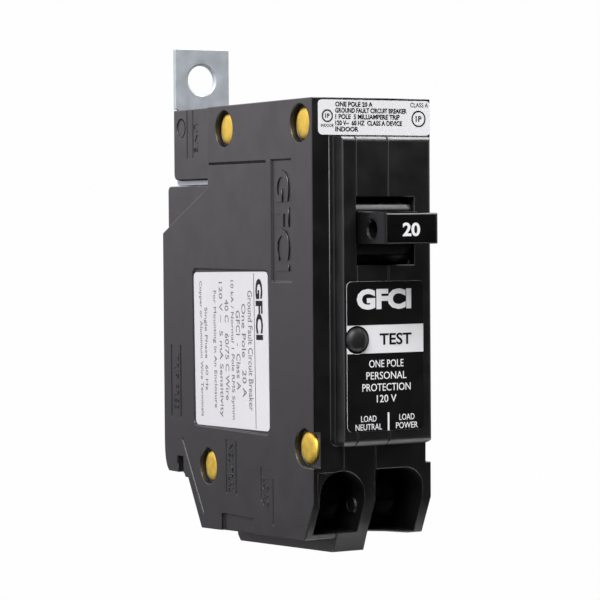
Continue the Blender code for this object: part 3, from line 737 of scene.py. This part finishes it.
def build_handle(finish, drum_finish, print_finish):
    """The drum, and the lever with its through hole."""
    left, right, end = LEVER_ROUNDS
    plan = [(HANDLE_LEFT, 0)]
    plan += arc((HANDLE_LEFT + left, LEVER_FRONT + left), left, 180, 270, 6)
    plan += arc((LEVER_RIGHT - right, LEVER_FRONT + right), right, -90, 0, 12)
    plan += [(LEVER_RIGHT, 0)]
    side = [(1, LEVER_TOP)]
    side += arc((LEVER_FRONT + end, LEVER_TOP - end), end, 90, 180, 6)
    side += arc((LEVER_FRONT + end, LEVER_BOTTOM + end), end, 180, 270, 6)
    side += [(1, LEVER_BOTTOM)]
    front = [(HANDLE_LEFT - 1, LEVER_BOTTOM)]
    front += arc((LEVER_RIGHT - LEVER_CORNER, LEVER_BOTTOM + LEVER_CORNER), LEVER_CORNER, -90, 0, 6)
    front += arc((LEVER_RIGHT - LEVER_CORNER, LEVER_TOP - LEVER_CORNER), LEVER_CORNER, 0, 90, 6)
    front += [(HANDLE_LEFT - 1, LEVER_TOP)]
    blade = new_object("blade_tool", prism("Z", plan, LEVER_BOTTOM - 1, LEVER_TOP + 1))
    shapes = (prism("X", side, HANDLE_LEFT - 1, LEVER_RIGHT + 1), prism("Y", front, LEVER_FRONT - 1, 2))
    combine(blade, [("INTERSECT", shape) for shape in shapes])
    y, z, radius = LEVER_HOLE
    before, after = HANDLE_LEFT - 1, HANDLE_LEFT + 0.3
    rim = [(0, before), (radius + after - before, before), (radius, after), (0, after)]
    piece = new_object("lever", rod("X", HANDLE_AXIS, HUB_RADIUS, HANDLE_LEFT, HUB_RIGHT, 128))
    steps = joins(taken(blade), box((HANDLE_LEFT, LEVER_RIGHT), (-6.6, 0), (LEVER_BOTTOM, LEVER_TOP + 0.22)))
    steps += cuts(
        rod("X", (y, z), radius, HANDLE_LEFT - 1, LEVER_RIGHT + 1),
        turned("X", (y, z), rim),
        rod("X", HANDLE_AXIS, 1.25, HANDLE_LEFT - 1, HUB_RIGHT + 1, 24),
    )
    combine(piece, steps)
    soften(piece, 0.1, lambda middle, edge: float(edge.calc_length() > 0.6 * MM), 2)
    piece.data.materials.append(finish)
    piece.data.materials.append(drum_finish)
    for face in piece.data.polygons:
        place = (face.center - CASE) / MM
        reach = math.hypot(place.y - HANDLE_AXIS[0], place.z - HANDLE_AXIS[1])
        if abs(reach - HUB_RADIUS) < 0.1 and abs(face.normal.x) < 0.1:
            face.material_index = 1
    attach(piece, "handle_lever")
    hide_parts("handle")
    rating = lettering("20", (-0.72, LEVER_FRONT, -24.75), RIGHT, UP, 2.45, 3.6, 0.03, 0.5)
    add_piece("lever_rating", rating, print_finish, "handle_lever")


def coil(centre, radius, low, high, turns):
    """A round wire wound along Y, with flat ends."""
    shape = bmesh.new()
    steps = 24 * turns
    sides = 8
    rings = []
    for step in range(steps + 1):
        turn = 2 * math.pi * turns * step / steps
        outward = Vector((math.cos(turn), 0, math.sin(turn)))
        middle = Vector((centre[0], low + (high - low) * step / steps, centre[1])) + outward * radius
        ring = []
        for side in range(sides):
            angle = 2 * math.pi * side / sides
            offset = outward * math.cos(angle) + Vector((0, math.sin(angle), 0))
            ring.append(shape.verts.new(at(*(middle + offset * SPRING_WIRE))))
        rings.append(ring)
    for first, second in zip(rings, rings[1:]):
        for side in range(sides):
            after = (side + 1) % sides
            shape.faces.new((first[side], second[side], second[after], first[after]))
    shape.faces.new(rings[0])
    shape.faces.new(rings[-1])
    bmesh.ops.recalc_face_normals(shape, faces=shape.faces)
    return shape


def build_springs(finish):
    """The return springs of the plunger and the test button, wound as coils fixed to the case."""
    for node, centre, radius, low, high, turns, joint, keep in SPRINGS:
        wound = coil(centre, radius, low, high, turns)
        piece = add_piece(f"{node}_coil", wound, finish, "case")
        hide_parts(node)
        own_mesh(piece)


def build_strap(finish):
    """The bolt-on strap, bent at its root, with rounded corners and a countersunk bolt hole."""
    front, rear = STRAP
    middle = (SLIT[0] + SLIT[1]) / 2
    thickness = rear - front
    outline = [(front, TAB_TOP - 1), (rear, TAB_TOP - 1), (rear, middle + thickness / 2 - 0.6)]
    outline += [(rear - 0.6, middle - thickness / 2), (33.5, middle - thickness / 2)]
    outline += [(33.5, middle + thickness / 2), (front, middle + thickness / 2)]
    piece = new_object("strap", prism("X", outline, *SHANK))
    x, z, radius = TAB_HOLE
    rim = 0.35
    cone = [(0, front - 0.4), (radius + rim + 0.4, front - 0.4), (radius, front + rim), (0, front + rim)]
    steps = joins(box(TAB, (front, rear), (TAB_FOOT, TAB_TOP)))
    steps += cuts(
        rod("Y", (x, z), radius, front - 1, rear + 1, 72),
        turned("Y", (x, z), cone, 72),
    )
    combine(piece, steps)
    soften(piece, 0.12)
    piece.data.materials.append(finish)
    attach(piece, "case")
    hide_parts("line_terminal")


def build_button(finish):
    """The domed test button, with the moulding line across its cap."""
    profile = [(0, -5.8), (0.6, -5.78), (1.1, -5.7), (1.55, -5.52), (1.9, -5.24), (2.12, -4.9)]
    profile += [(2.22, -4.5), (BUTTON_RADIUS, -4.2), (BUTTON_RADIUS, 2.6)]
    profile += [(3.0, 2.6), (3.0, 3.6), (0.8, 3.6), (0.8, 8.6), (0, 8.6)]
    piece = new_object("button", turned("Y", BUTTON, profile))
    rib = [(0, -5.88), (0.62, -5.86), (1.14, -5.78), (1.62, -5.58), (1.96, -5.28), (2.18, -4.92)]
    rib += [(2.24, -4.5), (2.24, -4.0), (0, -4.0)]
    line = new_object("button_line", turned("Y", BUTTON, rib))
    combine(line, [("INTERSECT", box((-5.62, -5.46), (-8, 0), (-50, -36)))])
    combine(piece, joins(taken(line)))
    piece.data.shade_smooth()
    piece.data.set_sharp_from_angle(angle=math.radians(40))
    piece.data.materials.append(finish)
    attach(piece, "test_key")
    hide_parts("test_button")


# Labels and lettering

RIGHT = Vector((1, 0, 0))
UP = Vector((0, 0, 1))
DOWN = Vector((0, 0, -1))
FORWARD = Vector((0, -1, 0))
BACKWARD = Vector((0, 1, 0))


def lettering(text, corner, along, up, height, width=None, bold=0.0, align=0.0, depth=PRINT):
    """A line of text as closed letters. corner is the foot of the text, align its share along the line."""
    curve = bpy.data.curves.new("lettering", "FONT")
    curve.body = text
    curve.extrude = 0.05
    curve.offset = bold
    curve.resolution_u = 3
    holder = bpy.data.objects.new("lettering", curve)
    bpy.context.scene.collection.objects.link(holder)
    graph = bpy.context.evaluated_depsgraph_get()
    mesh = bpy.data.meshes.new_from_object(holder.evaluated_get(graph))
    shape = bmesh.new()
    shape.from_mesh(mesh)
    bpy.data.objects.remove(holder)
    bpy.data.curves.remove(curve)
    bpy.data.meshes.remove(mesh)
    bmesh.ops.remove_doubles(shape, verts=shape.verts, dist=1e-4)
    low_x = min(vert.co.x for vert in shape.verts)
    low_y = min(vert.co.y for vert in shape.verts)
    span_x = max(vert.co.x for vert in shape.verts) - low_x
    span_y = max(vert.co.y for vert in shape.verts) - low_y
    if width is None:
        width = height * span_x / span_y
    out = along.cross(up)
    for vert in shape.verts:
        across = ((vert.co.x - low_x) / span_x - align) * width
        rise = (vert.co.y - low_y) / span_y * height
        stand = depth if vert.co.z > 0 else -0.05
        vert.co = at(*corner) + (along * across + up * rise + out * stand) * MM
    bmesh.ops.recalc_face_normals(shape, faces=shape.faces)
    return shape


def gathered(shapes):
    """Several closed shapes as one."""
    whole = bmesh.new()
    for shape in shapes:
        mesh = bpy.data.meshes.new("part")
        shape.to_mesh(mesh)
        shape.free()
        whole.from_mesh(mesh)
        bpy.data.meshes.remove(mesh)
    return whole


def turn_side_label(shape):
    """The side label sits a little askew."""
    centre = at(-HALF, sum(SIDE_LABEL_Y) / 2, sum(SIDE_LABEL_Z) / 2)
    tilt = Matrix.Rotation(math.radians(SIDE_LABEL_TILT), 4, "X")
    turn = Matrix.Translation(centre) @ tilt @ Matrix.Translation(-centre)
    bmesh.ops.transform(shape, matrix=turn, verts=shape.verts)
    return shape


def add_label(name, node, film, prints, finishes, film_finish="label_film"):
    """A film and its prints: prints maps a finish's name to closed shapes."""
    base = add_piece(name, film, finishes[film_finish], "case")
    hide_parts(node)
    for finish, shapes in prints.items():
        add_piece(f"{name}_{finish}", gathered(shapes), finishes[finish], "case")


def front_label(finishes):
    x0, x1 = FRONT_LABEL_X
    z0, z1 = FRONT_LABEL_Z
    face = NOSE_FRONT - FRONT_FILM
    band_bottom, band_top = TEST_BAND
    line = 0.02
    well = BUTTON_WELL + 0.12
    film = new_object("film_tool", rounded_plate("Y", (x0, x1), (z0, z1), 1.0, face, NOSE_FRONT))
    combine(film, cuts(rod("Y", BUTTON, well, face - 1, NOSE_FRONT + 1, 72)))

    def field(low, high, corners):
        """A printed field whose corners at top or bottom are rounded."""
        radius = 1.0 - line
        left, right = x0 + line, x1 - line
        if corners == "top":
            outline = [(left, low), (right, low)] + arc((right - radius, high - radius), radius, 0, 90, 6)
            outline += arc((left + radius, high - radius), radius, 90, 180, 6)
        else:
            outline = [(right, high), (left, high)] + arc((left + radius, low + radius), radius, 180, 270, 6)
            outline += arc((right - radius, low + radius), radius, 270, 360, 6)
        piece = new_object("field_tool", prism("Y", outline, face - PRINT, face + 0.05))
        combine(piece, cuts(rod("Y", BUTTON, well + 0.1, face - 1, NOSE_FRONT + 1, 72)))
        return taken(piece)

    black = [field(band_top, z1 - line, "top"), field(z0 + line, band_bottom, "bottom")]
    black.append(lettering("TEST", (1.65, face, -44.25), RIGHT, UP, 2.1, 6.7, 0.02, 0.5))
    printed = face - PRINT
    white = [lettering("GFCI", (-0.75, printed, -37.85), RIGHT, UP, 3.7, 11.4, 0.05, 0.5)]
    rows = (
        ("ONE POLE", -48.25, 7.2),
        ("PERSONAL", -50.4, 8.4),
        ("PROTECTION", -52.5, 10.1),
        ("120 V", -54.55, 4.1),
    )
    for text, foot, width in rows:
        white.append(lettering(text, (-0.35, printed, foot), RIGHT, UP, 1.35, width, 0.0, 0.5))
    terminals = (
        ("LOAD", -4.1, -57.95, 3.2),
        ("NEUTRAL", -4.1, -59.45, 5.5),
        ("LOAD", 3.9, -57.9, 3.2),
        ("POWER", 3.9, -59.4, 4.6),
    )
    for text, centre, foot, width in terminals:
        white.append(lettering(text, (centre, printed, foot), RIGHT, UP, 1.1, width, 0.0, 0.5))
    white.append(box((-0.15, 0.2), (printed - PRINT, printed + 0.05), (z0 + line, -56.4)))
    prints = {"black_print": black, "white_print": white}
    add_label("front_film", "front_label", taken(film), prints, finishes)


def top_label(finishes):
    left, right = -11.4, RIGHT_FACE - 0.1
    bottom, top = -6.5, -0.2
    film = rounded_plate("Y", (left, right), (bottom, top), 0.8, -FILM, 0)
    rows = (
        ("ONE POLE 20 A", 7.8),
        ("GROUND FAULT CIRCUIT BREAKER", 15.0),
        ("1 POLE  5 MILLIAMPERE TRIP", 13.5),
        ("120 V~  60 HZ  CLASS A DEVICE", 14.0),
        ("INDOOR", 4.8),
    )
    black = []
    for number, (text, width) in enumerate(rows):
        foot = (-7.9, -FILM, -1.42 - 1.12 * number)
        black.append(lettering(text, foot, RIGHT, UP, 0.88, width, 0.026))
    black.append(lettering("CLASS A", (11.7, -FILM, -1.35), RIGHT, UP, 0.8, 3.8, 0.0, 1.0))
    black.append(lettering("INDOOR", (-9.55, -FILM, -5.1), RIGHT, UP, 0.55, 2.6, 0.0, 0.5))
    for x, z, radius in ((-9.55, -3.1, 1.15), (9.65, -3.45, 1.5)):
        mark = new_object("mark_tool", rod("Y", (x, z), radius, -FILM - PRINT, -FILM + 0.05))
        combine(mark, cuts(rod("Y", (x, z), radius - 0.25, -FILM - 1, 0)))
        black.append(taken(mark))
        black.append(lettering("1P", (x, -FILM, z - radius * 0.35), RIGHT, UP, radius * 0.7, None, 0.02, 0.5))
    add_label("top_film", "top_label", film, {"black_print": black}, finishes)


def side_label(finishes):
    outer = -HALF + LABEL_RECESS - FILM
    film = rounded_plate("X", SIDE_LABEL_Y, SIDE_LABEL_Z, 1.1, outer, -HALF + LABEL_RECESS)
    rows = (
        ("Ground Fault Circuit Breaker", 25.0, 1.8, 22.5),
        ("One Pole   20 A", 27.5, 1.6, 17.6),
        ("GFCI  -  Class A", 29.8, 1.6, 15.0),
        ("10 kA / Normal 1 Pole RMS Symm", 32.1, 1.5, 26.4),
        ("40 C   60/75 C Wire", 34.3, 1.5, 19.2),
        ("120 V ~  5 mA Sensitivity", 37.0, 1.8, 25.8),
        ("For Mounting In An Enclosure", 39.3, 1.5, 22.5),
        ("Single Phase  60 Hz", 43.0, 1.4, 16.0),
        ("Copper or Aluminium Wire Terminals", 45.0, 1.4, 26.2),
    )
    grey = []
    bottom, top = SIDE_LABEL_Z
    for text, y, height, width in rows:
        grey.append(lettering(text, (outer, y, (top + bottom) / 2), DOWN, FORWARD, height, width, 0.0, 0.5))
    black = [lettering("GFCI", (outer, 21.8, top - 7.0), DOWN, FORWARD, 2.7, 11.4, 0.04, 0.5)]
    black.append(box((outer - PRINT, outer + 0.05), (22.35, 22.5), (bottom + 0.3, top - 0.3)))
    shapes = [film] + grey + black
    for shape in shapes:
        turn_side_label(shape)
    prints = {"grey_print": grey, "black_print": black}
    add_label("side_film", "side_label", film, prints, finishes, "side_film")


def moulded_marks(finish):
    """Raised letters moulded into both sides."""
    shapes = []
    places = (
        (-HALF, -LEVEL, FORWARD, (14.3, 48.95, 33.1, 19.3, 55.9)),
        (RIGHT_FACE, LEVEL, BACKWARD, (9.1, 47.65, 31.4, 17.1, 54.1)),
    )
    for surface, level, forward, feet in places:
        floor = surface - math.copysign(0.35, surface)
        words = (
            ("GFCI", floor, -21.8, 5.2, 18.5, 0.02, 0.22),
            ("LINE", level, -5.6, 1.3, 5.6, 0.0, 0.12),
            ("NEUTRAL", surface, -68.7, 1.7, 9.2, 0.0, 0.12),
            ("LOAD", surface, -72.2, 1.9, 5.6, 0.0, 0.12),
            ("TRIP FREE", surface, -53.4, 1.8, 11.0, 0.0, 0.12),
        )
        for foot, (text, x, z, height, width, bold, depth) in zip(feet, words):
            shapes.append(lettering(text, (x, foot, z), DOWN, forward, height, width, bold, 0.5, depth))
    add_piece("moulded_marks", gathered(shapes), finish, "case")


# Finishes

# The part of the noise's range over which a patch fades
PATCH_RANGE = (0.3, 0.7)


def noise(tree, scale, detail):
    """Noise in the object's own space."""
    place = tree.nodes.new("ShaderNodeTexCoord")
    node = tree.nodes.new("ShaderNodeTexNoise")
    node.inputs["Scale"].default_value = scale
    node.inputs["Detail"].default_value = detail
    tree.links.new(place.outputs["Object"], node.inputs["Vector"])
    return node.outputs["Fac"]


def map_range(tree, source, before, after, kind="LINEAR"):
    """Maps one range of a node's output onto another."""
    node = tree.nodes.new("ShaderNodeMapRange")
    node.interpolation_type = kind
    for name, value in zip(("From Min", "From Max", "To Min", "To Max"), (*before, *after)):
        node.inputs[name].default_value = value
    tree.links.new(source, node.inputs["Value"])
    return node.outputs["Result"]


def finish_material(
    name,
    colour,
    roughness,
    metallic=0.0,
    shift=0.2,
    patch=220,
    grain=4200,
    bump=0.02,
    spread=0.06,
    gloss_level=0.5,
):
    """A finish with soft patches of colour and gloss, and a fine grain.

    shift and spread say how far the patches change its colour and roughness, patch and grain set
    the scale of the two noises, and bump is the height of the grain in millimetres.
    """
    made = bpy.data.materials.new(name)
    made.use_nodes = True
    tree = made.node_tree
    shader = tree.nodes["Principled BSDF"]
    shader.inputs["Metallic"].default_value = metallic
    shader.inputs["Specular IOR Level"].default_value = gloss_level
    patches = noise(tree, patch, 4)
    ramp = tree.nodes.new("ShaderNodeValToRGB")
    shades = ([part * (1 - shift) for part in colour], [min(1, part * (1 + shift)) for part in colour])
    for element, position, shade in zip(ramp.color_ramp.elements, PATCH_RANGE, shades):
        element.position = position
        element.color = (*shade, 1)
    tree.links.new(patches, ramp.inputs["Fac"])
    tree.links.new(ramp.outputs["Color"], shader.inputs["Base Color"])
    gloss = map_range(tree, patches, PATCH_RANGE, (roughness - spread, roughness + spread))
    tree.links.new(gloss, shader.inputs["Roughness"])
    relief = tree.nodes.new("ShaderNodeBump")
    relief.inputs["Strength"].default_value = 1.0
    relief.inputs["Distance"].default_value = bump * MM
    tree.links.new(noise(tree, grain, 3), relief.inputs["Height"])
    tree.links.new(relief.outputs["Normal"], shader.inputs["Normal"])
    return made


def build_finishes():
    return {
        "black_thermoset": finish_material(
            "case_plastic", (0.0032, 0.003, 0.0033), 0.4, bump=0.012, gloss_level=0.85
        ),
        "handle_plastic": finish_material(
            "lever_plastic", (0.004, 0.0038, 0.0042), 0.26, bump=0.006, spread=0.03, gloss_level=0.24
        ),
        "drum_plastic": finish_material(
            "drum_gloss", (0.003, 0.0029, 0.0032), 0.24, bump=0.004, spread=0.03, gloss_level=1.0
        ),
        "button_plastic": finish_material("knob_plastic", (0.012, 0.0113, 0.0124), 0.5, bump=0.008),
        "brass_plated": finish_material("rivet_brass", (0.9, 0.64, 0.11), 0.5, 1.0, 0.12, 600, 2600, 0.03),
        "zinc_plated": finish_material(
            "strap_zinc", (0.47, 0.51, 0.545), 0.48, 0.35, 0.1, 380, 1800, 0.01, 0.1
        ),
        "steel": finish_material("bare_steel", (0.42, 0.42, 0.43), 0.4, 1.0),
        # The pieces on the dark_steel slot, the terminal screws and clamps, are near black: painted shade of
        # the terminal pockets they sit in.
        "dark_steel": finish_material("steel_painted_pocket_shade", (0.012, 0.012, 0.012), 0.6, 0.0, gloss_level=0.3),
        "copper": finish_material("bare_copper", (0.72, 0.36, 0.2), 0.36, 1.0),
        "silver_alloy": finish_material("contact_silver", (0.8, 0.79, 0.76), 0.3, 1.0, 0.06),
        "spring_steel": finish_material("spring_wire", (0.5, 0.5, 0.5), 0.3, 1.0, 0.08),
        "bimetal_strip": finish_material("bimetal_metal", (0.5, 0.48, 0.44), 0.4, 1.0),
        "copper_braid": finish_material(
            "braided_copper", (0.66, 0.35, 0.21), 0.55, 1.0, 0.3, 1500, 5000, 0.15
        ),
        "fibre_sheet": finish_material("pressed_fibre", (0.3, 0.17, 0.12), 0.8, 0.0, 0.2, 900),
        "board_laminate": finish_material("green_laminate", (0.05, 0.22, 0.09), 0.45, 0.0, 0.1),
        "wound_core": finish_material(
            "lacquered_winding", (0.35, 0.13, 0.05), 0.45, 0.0, 0.25, 900, 2500, 0.08
        ),
        "component_resin": finish_material("moulded_resin", (0.03, 0.03, 0.035), 0.5),
        "white_insulation": finish_material("white_vinyl", (0.8, 0.8, 0.78), 0.45, 0.0, 0.04),
        "label_film": finish_material("white_film", (0.9, 0.9, 0.92), 0.35, 0.0, 0.02, 60, 2500, 0.004),
        "black_print": finish_material(
            "black_ink", (0.003, 0.0028, 0.0028), 0.5, 0.0, 0.15, 300, 3000, 0.006, gloss_level=0.22
        ),
        "white_print": finish_material("white_ink", (0.94, 0.94, 0.96), 0.4, 0.0, 0.03, 300, 3000, 0.004),
        "side_film": finish_material("side_label_film", (0.6, 0.6, 0.61), 0.4, 0.0, 0.02, 60, 2500, 0.004),
        "grey_print": finish_material("grey_ink", (0.13, 0.13, 0.135), 0.5, 0.0, 0.1, 300, 3000, 0.004),
    }


def dress_frame(nodes, finishes):
    """Gives the pieces kept from the frame their finish, and small rounds on their edges."""
    for node in nodes.values():
        slot = node.data.materials[0].name.split(".")[0]
        node.data.materials[0] = finishes[slot]
        bevel = node.modifiers.new("rounded_edges", "BEVEL")
        bevel.width = FRAME_EDGE * MM
        bevel.segments = 2
        bevel.limit_method = "ANGLE"
        bevel.angle_limit = math.radians(50)


# Camera, light and backdrop


def build_camera():
    yaw, pitch, roll = (math.radians(angle) for angle in CAMERA_TURN)
    level = math.cos(pitch)
    back = Vector((math.sin(yaw) * level, -math.cos(yaw) * level, math.sin(pitch)))
    right = Vector((math.cos(yaw), math.sin(yaw), 0))
    up = back.cross(right)
    rolled_right = right * math.cos(roll) + up * math.sin(roll)
    rolled_up = up * math.cos(roll) - right * math.sin(roll)
    data = bpy.data.cameras.new("photo_camera")
    data.sensor_width = 36
    data.lens = CAMERA_LENS
    data.shift_x, data.shift_y = CAMERA_SHIFT
    data.clip_start = 0.01
    data.clip_end = 20
    camera = bpy.data.objects.new("photo_camera", data)
    turn = Matrix((rolled_right, rolled_up, back)).transposed().to_4x4()
    camera.matrix_world = Matrix.Translation(at(*CAMERA_PLACE)) @ turn
    bpy.context.scene.collection.objects.link(camera)
    bpy.context.scene.camera = camera


def softbox(name, direction, width, height, power):
    """A flat light that faces the middle of the case from a direction."""
    data = bpy.data.lights.new(name, "AREA")
    data.shape = "RECTANGLE"
    data.size = width
    data.size_y = height
    data.energy = power
    light = bpy.data.objects.new(name, data)
    towards = Vector(direction).normalized()
    place = Matrix.Translation(at(0, 25, -40) + towards * LIGHT_DISTANCE)
    light.matrix_world = place @ towards.to_track_quat("Z", "Y").to_matrix().to_4x4()
    bpy.context.scene.collection.objects.link(light)


def build_world():
    """A pale room for the camera. For the object it is dark in front and bright behind."""
    world = bpy.data.worlds.new("studio")
    bpy.context.scene.world = world
    world.use_nodes = True
    tree = world.node_tree
    tree.nodes.clear()
    place = tree.nodes.new("ShaderNodeTexCoord")
    facing = tree.nodes.new("ShaderNodeVectorMath")
    facing.operation = "DOT_PRODUCT"
    facing.inputs[1].default_value = ROOM_FACING
    tree.links.new(place.outputs["Generated"], facing.inputs[0])
    level = map_range(tree, facing.outputs["Value"], ROOM_FACING_RANGE, ROOM_LEVEL, "SMOOTHSTEP")
    parts = tree.nodes.new("ShaderNodeSeparateXYZ")
    tree.links.new(place.outputs["Generated"], parts.inputs[0])
    rise = map_range(tree, parts.outputs["Z"], ROOM_RISE_RANGE, ROOM_RISE, "SMOOTHSTEP")
    both = tree.nodes.new("ShaderNodeMath")
    both.operation = "MULTIPLY"
    tree.links.new(level, both.inputs[0])
    tree.links.new(rise, both.inputs[1])
    room = tree.nodes.new("ShaderNodeBackground")
    room.inputs["Color"].default_value = ROOM_COLOUR
    tree.links.new(both.outputs["Value"], room.inputs["Strength"])
    seen = tree.nodes.new("ShaderNodeBackground")
    seen.inputs["Color"].default_value = (1, 1, 1, 1)
    seen.inputs["Strength"].default_value = SEEN_LEVEL
    ray = tree.nodes.new("ShaderNodeLightPath")
    mix = tree.nodes.new("ShaderNodeMixShader")
    tree.links.new(ray.outputs["Is Camera Ray"], mix.inputs["Fac"])
    tree.links.new(room.outputs["Background"], mix.inputs[1])
    tree.links.new(seen.outputs["Background"], mix.inputs[2])
    out = tree.nodes.new("ShaderNodeOutputWorld")
    tree.links.new(mix.outputs["Shader"], out.inputs["Surface"])


def build_floor():
    """A floor so far below that the shadow falls outside the picture."""
    size = FLOOR_SIZE
    shape = bmesh.new()
    corners = [(-size, -size), (size, -size), (size, size), (-size, size)]
    shape.faces.new([shape.verts.new((x, y, FLOOR_Z)) for x, y in corners])
    floor = new_object("floor", shape)
    finish = finish_material("floor_paper", (0.9, 0.9, 0.9), 0.8, 0.0, 0.01, 3, 300, 0.05, 0.02)
    shader = finish.node_tree.nodes["Principled BSDF"]
    shader.inputs["Emission Color"].default_value = (1, 1, 1, 1)
    shader.inputs["Emission Strength"].default_value = 1.0
    floor.data.materials.append(finish)


def main():
    finishes = build_finishes()
    dress_frame(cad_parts, finishes)
    plastic = finishes["black_thermoset"]
    build_left_shell(plastic)
    build_middle_shell(plastic)
    build_right_shell(plastic)
    build_rivets(finishes["brass_plated"])
    build_handle(finishes["handle_plastic"], finishes["drum_plastic"], finishes["white_print"])
    build_strap(finishes["zinc_plated"])
    build_button(finishes["button_plastic"])
    build_springs(finishes["spring_steel"])
    front_label(finishes)
    top_label(finishes)
    side_label(finishes)
    moulded_marks(plastic)
    build_camera()
    for light in LIGHTS:
        softbox(*light)
    build_world()
    build_floor()
    bpy.context.scene.view_settings.view_transform = "Standard"


main()
